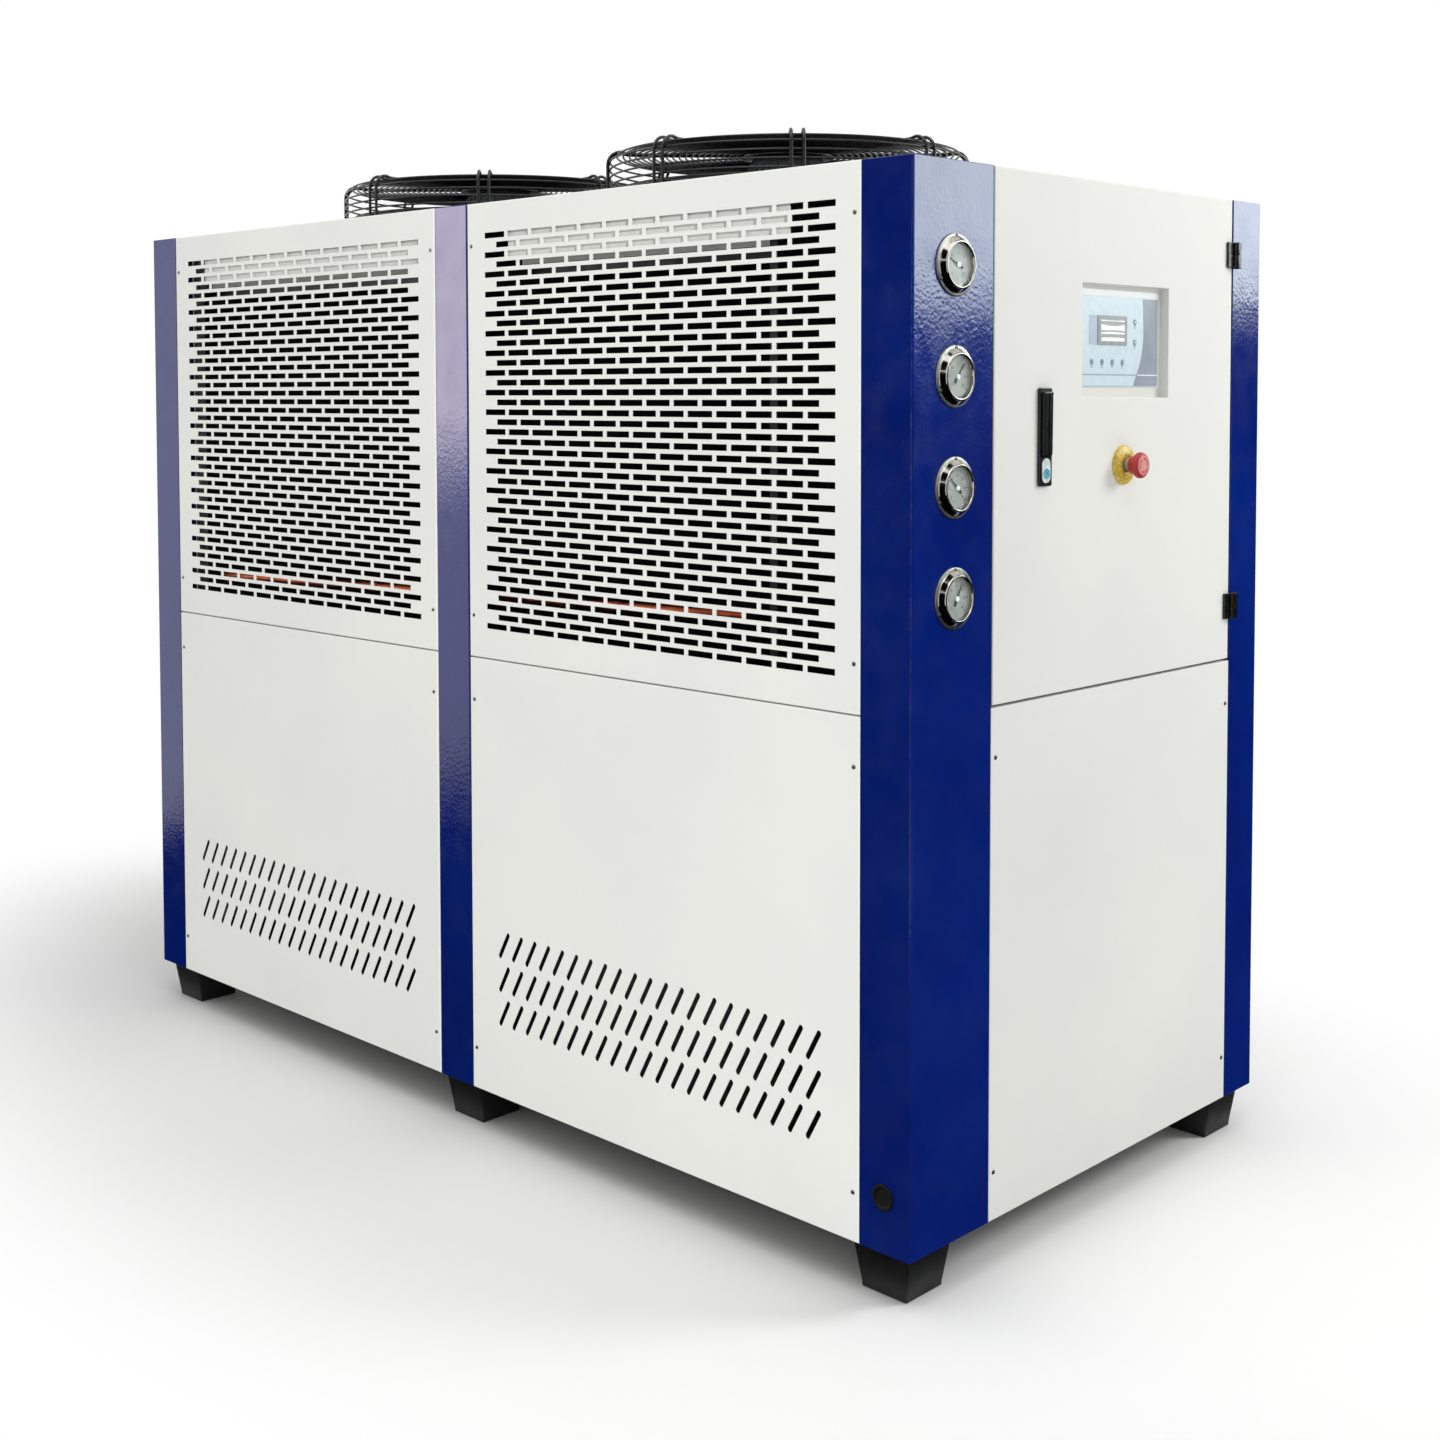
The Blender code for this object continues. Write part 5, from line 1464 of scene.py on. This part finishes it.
DIAL = rounded([(0.0, DIAL_HEIGHT - 0.0005, 0.0), (DIAL_RADIUS, DIAL_HEIGHT - 0.0005, 0.0),
                (DIAL_RADIUS, DIAL_HEIGHT, 0.0), (0.0, DIAL_HEIGHT, 0.0)])
CAP = rounded([(0.0, DIAL_HEIGHT, 0.0), (0.0036, DIAL_HEIGHT, 0.0),
               (0.0036, DIAL_HEIGHT + 0.0026, 0.001), (0.0, DIAL_HEIGHT + 0.0030, 0.0)])
LENS_DISC = rounded([(0.0, 0.0082, 0.0), (0.0291, 0.0082, 0.0002), (0.0291, 0.0092, 0.0002),
                     (0.0, 0.0094, 0.0)])


def gauge_print():
    """The scale's ticks and plain numbers."""
    shape = bmesh.new()
    ticks = MAJOR_TICKS * MINOR_PER_MAJOR
    for tick in range(ticks + 1):
        major = tick % MINOR_PER_MAJOR == 0
        inner = 0.0212 if major else 0.0232
        half = 0.00045 if major else 0.00022
        angle = math.radians(SCALE_START + SCALE_SWEEP * tick / ticks)
        outline = [(inner, -half), (0.0256, -half), (0.0256, half), (inner, half)]
        prism(shape, turned_points(outline, angle), DIAL_HEIGHT - 0.0002,
              DIAL_HEIGHT + 0.0001)
        if major:
            middle = (0.0172 * math.cos(angle), 0.0172 * math.sin(angle))
            add_number(shape, str(tick), 0.0056, middle, DIAL_HEIGHT)
    return shape


def pointer_shape(angle):
    """A long needle with a thick tail."""
    shape = bmesh.new()
    needle = [(-0.0110, -0.0019), (-0.0030, -0.0013), (0.0225, -0.0003), (0.0225, 0.0003),
              (-0.0030, 0.0013), (-0.0110, 0.0019)]
    prism(shape, turned_points(needle, math.radians(angle)), DIAL_HEIGHT + 0.0010,
          DIAL_HEIGHT + 0.0016)
    return shape


for number in range(1, 5):
    node = f"pressure_gauge_{number}"
    gauge_low, gauge_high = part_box(node)
    centre = Vector((door_high.x, (gauge_low.y + gauge_high.y) / 2,
                     (gauge_low.z + gauge_high.z) / 2))
    flange = turned(FLANGE, 72)
    turned(BACK, 72, shape=flange)
    bmesh.ops.remove_doubles(flange, verts=flange.verts, dist=0.00001)
    for part, shape, finish, smooth in (
            ("flange", flange, SATIN_STEEL, 35.0),
            ("bezel", turned(BEZEL, 72), POLISHED_STEEL, 35.0),
            ("dial", turned(DIAL, 48), DIAL_PAINT, 30.0),
            ("scale", gauge_print(), POINTER_PAINT, 30.0),
            ("pointer", pointer_shape(POINTER_ANGLES[number]), POINTER_PAINT, 30.0),
            ("cap", turned(CAP, 24), PALE_PRINT_AND_REFLECTION, 30.0),
            ("lens", turned(LENS_DISC, 64), GAUGE_LENS, 30.0)):
        in_space(f"gauge_{part}_{number}", shape, dial_space(centre), finish,
                 [node], "cabinet", smooth)
print("gauges with", MAJOR_TICKS * MINOR_PER_MAJOR + 1, "ticks each")

# %% [markdown]
# ## Controller
#
# The controller is a moulded plate with a printed polyester film, set on the floor of the
# door's pocket. The film is pale blue, with a slate band whose edge curves down the right
# side, a display in a grey frame, two arrow keys and four function keys. Places on the film
# are in millimetres from its upper left corner, as a drawing for the printer would give
# them. Each printed field is a film of its own thickness, so that its edge catches light.
# The display's cell mirrors the room in soft pale bands, which are painted reflections, drawn as
# bowed fields.
# Words on the film are left out.

# %% Controller
FACE_WIDTH, FACE_HEIGHT = face_high.y - face_low.y, face_high.z - face_low.z
FACE_THICKNESS = 0.003
FILM = 0.0003
RULE_DOWN = FACE_HEIGHT * 1000 - 17.3
BAND_EDGE = [(172.8, 0.8), (174.2, 24.0), (175.0, 48.0), (174.6, 62.0), (172.6, 76.0),
             (169.0, 90.0), (163.4, 104.0), (157.0, 115.3), (150.6, 126.0), (146.6, 135.2)]

face_space = dial_space(Vector((face_low.x, face_low.y, face_low.z)))


def on_face(x, down):
    """A point on the face, from millimetres across and down from its upper left corner."""
    return (x / 1000.0, FACE_HEIGHT - down / 1000.0)


def face_piece(name, outlines, low, high, finish, rounding=0.0):
    """One printed field or part of the controller's front."""
    shape = bmesh.new()
    for outline in outlines:
        prism(shape, outline, low, high)
    made = in_space(name, shape, face_space, finish, ["controller"])
    if rounding:
        round_edges(made, rounding, 2)
    return made


def face_rectangle(left, top, right, bottom, radius=0.0008):
    """A rounded rectangle, from millimetres across and down."""
    x0, y1 = on_face(left, top)
    x1, y0 = on_face(right, bottom)
    return rounded_rectangle(x0, y0, x1, y1, radius)


surface = FACE_THICKNESS
face_mm = FACE_WIDTH * 1000, FACE_HEIGHT * 1000
face_piece("controller_mount", [rounded_rectangle(-0.001, -0.001, FACE_WIDTH + 0.008,
                                                  FACE_HEIGHT + 0.0105, 0.001)],
           -0.0002, 0.0008, MOUNT_PLASTIC, 0.0003)
face_piece("controller_front", [rounded_rectangle(0, 0, FACE_WIDTH, FACE_HEIGHT, 0.002)],
           0.0, surface - FILM, FACE_FILM, 0.0008)
band_outline = [on_face(x, down) for x, down in BAND_EDGE]
band_outline += [on_face(face_mm[0] - 0.8, face_mm[1] - 0.8), on_face(face_mm[0] - 0.8, 0.8)]
face_piece("controller_slate_band", [band_outline], surface - FILM, surface, SLATE_FILM)
face_piece("controller_blue_field", [face_rectangle(22.5, 29.0, 44.5, 73.5)], surface - FILM,
           surface, PRINT_BLUE)
face_piece("display_frame", [face_rectangle(45.0, 29.0, 126.0, 73.5, 0.0015)],
           surface - FILM, surface + 0.0010, DISPLAY_FRAME, 0.0004)
face_piece("display_cell", [face_rectangle(50.5, 33.5, 120.5, 69.0)],
           surface + 0.0010, surface + 0.0012, DISPLAY_GREY)


def bowed_band(top, bottom, bow):
    """A painted reflection across the display: a pale band, its upper and lower edge bowed by
    some millimetres.
    """
    steps = 10
    upper, lower = [], []
    for step in range(steps + 1):
        share = step / steps
        x = 53.0 + 65.0 * share
        sag = bow * (1 - (2 * share - 1) ** 2)
        upper.append(on_face(x, top + sag))
        lower.append(on_face(x, bottom - sag * 0.3))
    return upper[::-1] + lower


bands = [bowed_band(35.4, 37.6, 0.7), bowed_band(42.0, 51.6, 2.4), bowed_band(54.2, 56.6, -0.6),
         bowed_band(62.6, 67.4, -0.8)]
# These pale bands are a painted reflection of the room on the display's cell.
face_piece("display_painted_reflection", bands, surface + 0.0012, surface + 0.0013, PALE_PRINT_AND_REFLECTION)


def key_outline(x, down):
    """A key's moulded mark: a round head that narrows downwards, 8 by 13 mm."""
    centre = on_face(x, down)
    return arc(centre, 0.0041, -35.0, 215.0, 14) + [
        (centre[0] - 0.0015, centre[1] - 0.0062), (centre[0] + 0.0015, centre[1] - 0.0062)]


function_keys = [(29.6 + 28.2 * key, face_mm[1] - 37.0) for key in range(4)]
arrow_keys = [(149.4, 36.9), (149.4, 68.1)]
face_piece("controller_keys", [key_outline(x, down) for x, down in function_keys + arrow_keys],
           surface - FILM, surface + 0.0006, KEY_FILM, 0.0003)


def arrow(x, down, way):
    """A small arrow head on a key, pointing up or down."""
    middle = on_face(x, down)
    base = middle[1] - way * 0.0009
    return [(middle[0] - 0.0017, base), (middle[0] + 0.0017, base),
            (middle[0], middle[1] + way * 0.0018)]


arrows = [arrow(*arrow_keys[0], 1), arrow(*arrow_keys[1], -1)[::-1]]
face_piece("key_arrows", arrows, surface + 0.0006, surface + 0.0007, PALE_PRINT_AND_REFLECTION)
marks = [face_rectangle(x - 3.0, down + 8.2, x + 3.0, down + 9.6, 0.0003)
         for x, down in function_keys + arrow_keys]
face_piece("key_marks", marks, surface - FILM, surface - FILM + 0.0001, PRINT_DARK)
face_piece("controller_rule", [face_rectangle(0.6, RULE_DOWN - 0.9, 157.5, RULE_DOWN + 0.9,
                                              0.0003)], surface - FILM, surface - 0.0002,
           PRINT_DARK)
face_piece("controller_rule_pale", [face_rectangle(157.5, RULE_DOWN - 0.7, face_mm[0] - 1.0,
                                                   RULE_DOWN + 0.7, 0.0003)],
           surface, surface + 0.0001, PALE_PRINT_AND_REFLECTION)
print("controller face", [round(side, 1) for side in face_mm], "mm")

# %% [markdown]
# ## Lock and lever
#
# The door is held by a swing lever lock: a slim black plate with a chamfered edge, a lever
# that lifts about its upper end, and below it a silver insert round a key cylinder. Plate and
# lever are separate pieces on separate bodies, so that the lever swings out and the plate
# stays on the door. The lever is lofted through sections whose middle is a long groove.

# %% Lock plate
lock_low, lock_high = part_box("lock_plate")
lever_low, lever_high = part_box("lock_lever")
LOCK_PLATE = 0.0055
lock_middle = (lock_low.y + lock_high.y) / 2
lock_space = dial_space(Vector((lock_low.x, lock_middle, lock_low.z)))
half_plate = (lock_high.y - lock_low.y) / 2
plate_length = lock_high.z - lock_low.z

plate = bmesh.new()
prism(plate, rounded_rectangle(-half_plate, 0, half_plate, plate_length, 0.003, 5), 0,
      LOCK_PLATE)
round_edges(in_space("lock_back_plate", plate, lock_space, BLACK_PLASTIC,
                     ["lock_plate"]), 0.0011, 3)
INSERT_WIDTH, INSERT_LOW, INSERT_HIGH = 0.0205, 0.0045, 0.0405
insert = bmesh.new()
prism(insert, rounded_rectangle(-INSERT_WIDTH / 2, INSERT_LOW, INSERT_WIDTH / 2, INSERT_HIGH,
                                INSERT_WIDTH * 0.45, 8), LOCK_PLATE - 0.0010,
      LOCK_PLATE + 0.0009)
round_edges(in_space("lock_key_insert", insert, lock_space, LOCK_INSERT,
                     ["lock_plate"]), 0.0006, 3)
BARREL_RISE = 0.018
barrel_profile = rounded([(0.0, LOCK_PLATE - 0.001, 0.0), (0.0078, LOCK_PLATE - 0.001, 0.0),
                          (0.0078, LOCK_PLATE + 0.0018, 0.0005),
                          (0.0060, LOCK_PLATE + 0.0019, 0.0003),
                          (0.0056, LOCK_PLATE + 0.0014, 0.0003),
                          (0.0, LOCK_PLATE + 0.0014, 0.0)])
barrel = turned(barrel_profile, 40, (0, BARREL_RISE, 0))
in_space("key_cylinder", barrel, lock_space, KEY_CYLINDER, ["lock_plate"])
keyway = bmesh.new()
prism(keyway, [(-0.0005, BARREL_RISE - 0.0034), (0.0005, BARREL_RISE - 0.0034),
               (0.0005, BARREL_RISE + 0.0034), (-0.0005, BARREL_RISE + 0.0034)],
      LOCK_PLATE + 0.0010, LOCK_PLATE + 0.00150)
in_space("key_slot", keyway, lock_space, BLACK_PLASTIC, ["lock_plate"])
print("lock plate", [round(1000 * side, 1) for side in lock_high - lock_low], "mm")


# %% Lever
def lever_shape():
    """A tapering lever with a groove down its middle and a round knuckle on top."""
    shape = bmesh.new()
    half = (lever_high.y - lever_low.y) / 2
    depth = lever_high.x - lever_low.x
    length = lever_high.z - lever_low.z - depth / 2
    section = [(-1.00, 0.06), (-1.00, 0.66), (-0.88, 0.90), (-0.60, 1.00), (-0.16, 1.00),
               (-0.08, 0.92), (-0.06, 0.30), (0.10, 0.30), (0.12, 0.92), (0.20, 1.00),
               (0.66, 1.00), (0.90, 0.90), (1.00, 0.66), (1.00, 0.06)]
    stations = [(0.0, 0.80, 0.66), (0.012, 0.92, 0.76), (0.05, 1.00, 0.82), (0.35, 1.0, 0.88),
                (0.70, 1.0, 0.96), (0.93, 1.0, 1.0), (1.0, 1.0, 0.98)]
    rings = []
    for share, wide, deep in stations:
        up = length * share
        rings.append([shape.verts.new((x * half * wide, up, z * depth * deep))
                      for x, z in section])
    bridge(shape, rings)
    shape.faces.new(rings[0])
    shape.faces.new(rings[-1])
    knuckle = rounded([(0.0, -half, 0.0), (depth / 2, -half, 0.001),
                       (depth / 2, half, 0.001), (0.0, half, 0.0)])
    return turned(knuckle, 24, (0, length, depth / 2), (1, 0, 0), shape)


lever_space = dial_space(Vector((lever_low.x, (lever_low.y + lever_high.y) / 2, lever_low.z)))
in_space("swing_lever", lever_shape(), lever_space, LEVER_PLASTIC,
         ["lock_lever"], "lever", 32.0)
print("lever", round(1000 * (lever_high.z - lever_low.z)), "mm long")

# %% [markdown]
# ## Emergency stop
#
# A red mushroom head stands on a stem that slides in a golden collar. The collar is a low
# cone with a grained top, like a thick washer with a turned slope, and its pale flecks are
# painted glints. A grey metal sleeve shows between the collar and the red neck. The head
# presses in 5 mm with its neck and stem, so the sleeve belongs to the moving button. Its
# face is drawn paler than its rim.

# %% Emergency stop
button_low, button_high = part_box("estop_button")
stop_centre = Vector((door_high.x, (button_low.y + button_high.y) / 2,
                      (button_low.z + button_high.z) / 2))
stop_space = dial_space(stop_centre)
STOP_REACH = button_high.x - door_high.x
COLLAR_BORE = 0.0112
COLLAR_TOP = 0.0078
STEM_RADIUS = 0.0105

collar = turned(rounded([
    (COLLAR_BORE, 0.0003, 0.0), (0.0300, 0.0003, 0.0), (0.0300, 0.0036, 0.0010),
    (0.0268, 0.0050, 0.0010), (0.0180, COLLAR_TOP, 0.0014), (0.0142, COLLAR_TOP, 0.0008),
    (0.0136, COLLAR_TOP - 0.0012, 0.0006), (COLLAR_BORE, COLLAR_TOP - 0.0014, 0.0),
    (COLLAR_BORE, 0.0003, 0.0)]), 72)
# The collar's pale flecks are painted glints.
in_space("estop_golden_collar", collar, stop_space, YELLOW_PLASTIC,
         ["estop_collar"])
stem = turned(rounded([(0.0, 0.0068, 0.0), (STEM_RADIUS, 0.0068, 0.0005),
                       (STEM_RADIUS, 0.0102, 0.0004), (0.0100, 0.0106, 0.0002),
                       (STEM_RADIUS, 0.0110, 0.0004), (STEM_RADIUS, 0.0160, 0.0),
                       (0.0, 0.0160, 0.0)]))


def button_piece(name, shape, finish):
    """A part of the moving button."""
    in_space(name, shape, stop_space, finish, ["estop_button"], "stop_button")


button_piece("estop_metal_stem", stem, SATIN_STEEL)
shoulder = STOP_REACH - 0.0120
head = turned(rounded([
    (0.0, 0.0158, 0.0), (0.0135, 0.0158, 0.0006), (0.0135, shoulder, 0.0010),
    (0.0170, shoulder, 0.0010), (0.0200, shoulder + 0.0030, 0.0015),
    (0.0200, STOP_REACH - 0.0040, 0.0020), (0.0168, STOP_REACH - 0.0008, 0.0012),
    (0.0156, STOP_REACH - 0.0006, 0.0003), (0.0150, STOP_REACH - 0.0012, 0.0)]), 72)
button_piece("estop_red_head", head, RED_PLASTIC)
cap_face = turned(rounded([
    (0.0152, STOP_REACH - 0.0016, 0.0), (0.0152, STOP_REACH - 0.0006, 0.0004),
    (0.0120, STOP_REACH - 0.0004, 0.0), (0.0, STOP_REACH - 0.0002, 0.0)]), 72)
button_piece("estop_head_face", cap_face, RED_FACE)
turns = bmesh.new()
for third in range(3):
    start = third * 120.0
    outer = arc((0, 0), 0.0112, start, start + 70.0, 10)
    inner = arc((0, 0), 0.0098, start + 70.0, start, 10)
    tip = [(radius * math.cos(math.radians(start + angle)),
            radius * math.sin(math.radians(start + angle)))
           for radius, angle in ((0.0132, 70.0), (0.0105, 92.0), (0.0078, 70.0))]
    prism(turns, outer + tip + inner, STOP_REACH - 0.0007, STOP_REACH - 0.0001)
button_piece("estop_turn_arrows", turns, RED_RIM)
print("stop head reaches", round(1000 * STOP_REACH, 1), "mm out")

# %% [markdown]
# ## Hinges, grommet and screws
#
# Two black lift-off hinges carry the door: the leaf with the upper knuckle is on the door
# and the leaf with the lower knuckle is on the post. A rubber grommet waits for the power
# cable. The front and right panels are held by pan head screws and the rear and left ones
# by sunk heads. One head of each kind gets its cross recess from a Boolean, and its mesh
# is then copied to all places, turned a little differently at each.

# %% Hinges and grommet
KNUCKLE_RADIUS = 0.0055
KNUCKLE_GAP = 0.0004
LEAF_SHEET = 0.0045
LEAF_FROM_AXIS = 0.0062
STRAP_OVERLAP = 0.002

for where in ("upper", "lower"):
    for half_of, body in (("door", "door"), ("post", "cabinet")):
        node = f"hinge_{where}_{half_of}"
        leaf_low, leaf_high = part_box(node)
        axis_x = leaf_high.x - KNUCKLE_RADIUS
        axis_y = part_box(f"hinge_{where}_door")[1].y - KNUCKLE_RADIUS
        middle = (leaf_low.z + leaf_high.z) / 2
        if half_of == "post":
            start, end = axis_y + LEAF_FROM_AXIS, leaf_high.y
            strap_start, strap_end = axis_y, start + STRAP_OVERLAP
            bottom, top = leaf_low.z, middle - KNUCKLE_GAP
        else:
            start, end = leaf_low.y, axis_y - LEAF_FROM_AXIS
            strap_start, strap_end = end - STRAP_OVERLAP, axis_y
            bottom, top = middle + KNUCKLE_GAP, leaf_high.z
        sheet_top = leaf_low.x + LEAF_SHEET
        leaf = box_shape((leaf_low.x, start, leaf_low.z), (sheet_top, end, leaf_high.z))
        join_box(leaf, (leaf_low.x, strap_start, bottom), (sheet_top, strap_end, top))
        knuckle = rounded([(0.0, bottom, 0.0), (KNUCKLE_RADIUS, bottom, 0.0006),
                           (KNUCKLE_RADIUS, top, 0.0006), (0.0, top, 0.0)])
        turned(knuckle, 32, (axis_x, axis_y, 0), shape=leaf)
        bmesh.ops.recalc_face_normals(leaf, faces=leaf.faces)
        hinge = add_piece(f"lift_off_hinge_{where}_{half_of}", leaf, HINGE_BLACK,
                          [node], body, 35.0)
        round_edges(hinge, 0.0008, 2)

grommet_low, grommet_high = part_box("cable_grommet")
grommet_centre = Vector(((grommet_low.x + grommet_high.x) / 2,
                         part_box("post_front_right")[0].y,
                         (grommet_low.z + grommet_high.z) / 2))
GROMMET = rounded([(0.0, -0.008, 0.0), (0.0148, -0.008, 0.001), (0.0148, 0.0003, 0.0005),
                   (0.0185, 0.0003, 0.0008), (0.0185, 0.0025, 0.0012),
                   (0.0140, 0.0025, 0.0010), (0.0130, 0.0008, 0.0008),
                   (0.0060, 0.0006, 0.0), (0.0, 0.0012, 0.0)])
turned_piece("rubber_cable_grommet", GROMMET, grommet_centre, (0, -1, 0), RUBBER,
             ["cable_grommet"])
print("hinges and grommet ready")

# %% Panel screws
SCREW_RADIUS = 0.0033
SCREW_HEIGHT = 0.0017
GAUGE_SCREW_CIRCLE = 0.0390
RECESS_REACH, RECESS_HALF, RECESS_DEPTH = 0.0018, 0.0005, 0.0009


def screw_head(height):
    """One pan head with a cross recess, as a mesh that looks up its own z axis."""
    profile = rounded([(0.0, -0.0016, 0.0), (SCREW_RADIUS, -0.0016, 0.0),
                       (SCREW_RADIUS, height * 0.35, 0.0006),
                       (SCREW_RADIUS * 0.62, height, 0.0010), (0.0, height, 0.0)])
    shape = turned(profile, 20)
    bmesh.ops.recalc_face_normals(shape, faces=shape.faces)
    head = loose_mesh("screw_head", shape)
    reach, half = RECESS_REACH, RECESS_HALF
    quarter = [(half, half), (half, reach), (-half, reach)]
    cross = [(x * turn[0] - y * turn[1], x * turn[1] + y * turn[0])
             for turn in ((1, 0), (0, 1), (-1, 0), (0, -1)) for x, y in quarter]
    recess = bmesh.new()
    prism(recess, cross, height - RECESS_DEPTH, height + 0.001)
    bmesh.ops.recalc_face_normals(recess, faces=recess.faces)
    cutter = loose_mesh("screw_recess", recess)
    cut = head.modifiers.new("recess", "BOOLEAN")
    cut.operation = "DIFFERENCE"
    cut.object = cutter
    graph = bpy.context.evaluated_depsgraph_get()
    made = bpy.data.meshes.new_from_object(head.evaluated_get(graph))
    for spare in (head, cutter):
        bpy.data.objects.remove(spare)
    return made


def loose_mesh(name, shape):
    """A passing object for a Boolean, which is removed again."""
    mesh = bpy.data.meshes.new(name)
    shape.to_mesh(mesh)
    shape.free()
    passing = bpy.data.objects.new(name, mesh)
    bpy.context.scene.collection.objects.link(passing)
    return passing


PAN_HEAD = screw_head(SCREW_HEIGHT)
SUNK_HEAD = screw_head(-0.0001)
SCREWED_PANELS = {
    "front": ["intake_panel_front_left", "intake_panel_front_right", "vent_panel_front_left",
              "vent_panel_front_right"],
    "rear": ["intake_panel_rear_left", "intake_panel_rear_right", "vent_panel_rear_left",
             "vent_panel_rear_right"],
    "right": ["end_panel_right_lower"],
    "left": ["end_panel_left_lower", "end_panel_left_upper"],
}
for side, panels in SCREWED_PANELS.items():
    heads = bmesh.new()
    for node in panels:
        space, width, height = side_space(*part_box(node), side)
        for across, up in screw_places(width, height):
            turn = Matrix.Rotation(across * 37.0 + up * 91.0, 4, "Z")
            copy = (SUNK_HEAD if side in ("rear", "left") else PAN_HEAD).copy()
            copy.transform(space @ Matrix.Translation((across, up, 0)) @ turn)
            join(heads, copy)
    add_piece(f"panel_screws_{side}", heads, ZINC, smooth=35.0)
gauge_screws = bmesh.new()
for number in range(1, 5):
    gauge_low, gauge_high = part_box(f"pressure_gauge_{number}")
    centre = Vector((door_high.x + 0.0028, (gauge_low.y + gauge_high.y) / 2,
                     (gauge_low.z + gauge_high.z) / 2))
    for angle in (90.0, 210.0, 330.0):
        turn = math.radians(angle)
        copy = PAN_HEAD.copy()
        copy.transform(dial_space(centre)
                       @ Matrix.Translation((GAUGE_SCREW_CIRCLE * math.cos(turn),
                                             GAUGE_SCREW_CIRCLE * math.sin(turn), 0)))
        join(gauge_screws, copy)
add_piece("gauge_screws", gauge_screws, ZINC, smooth=35.0)
print("screw heads", 4 * sum(len(panels) for panels in SCREWED_PANELS.values()) + 12)
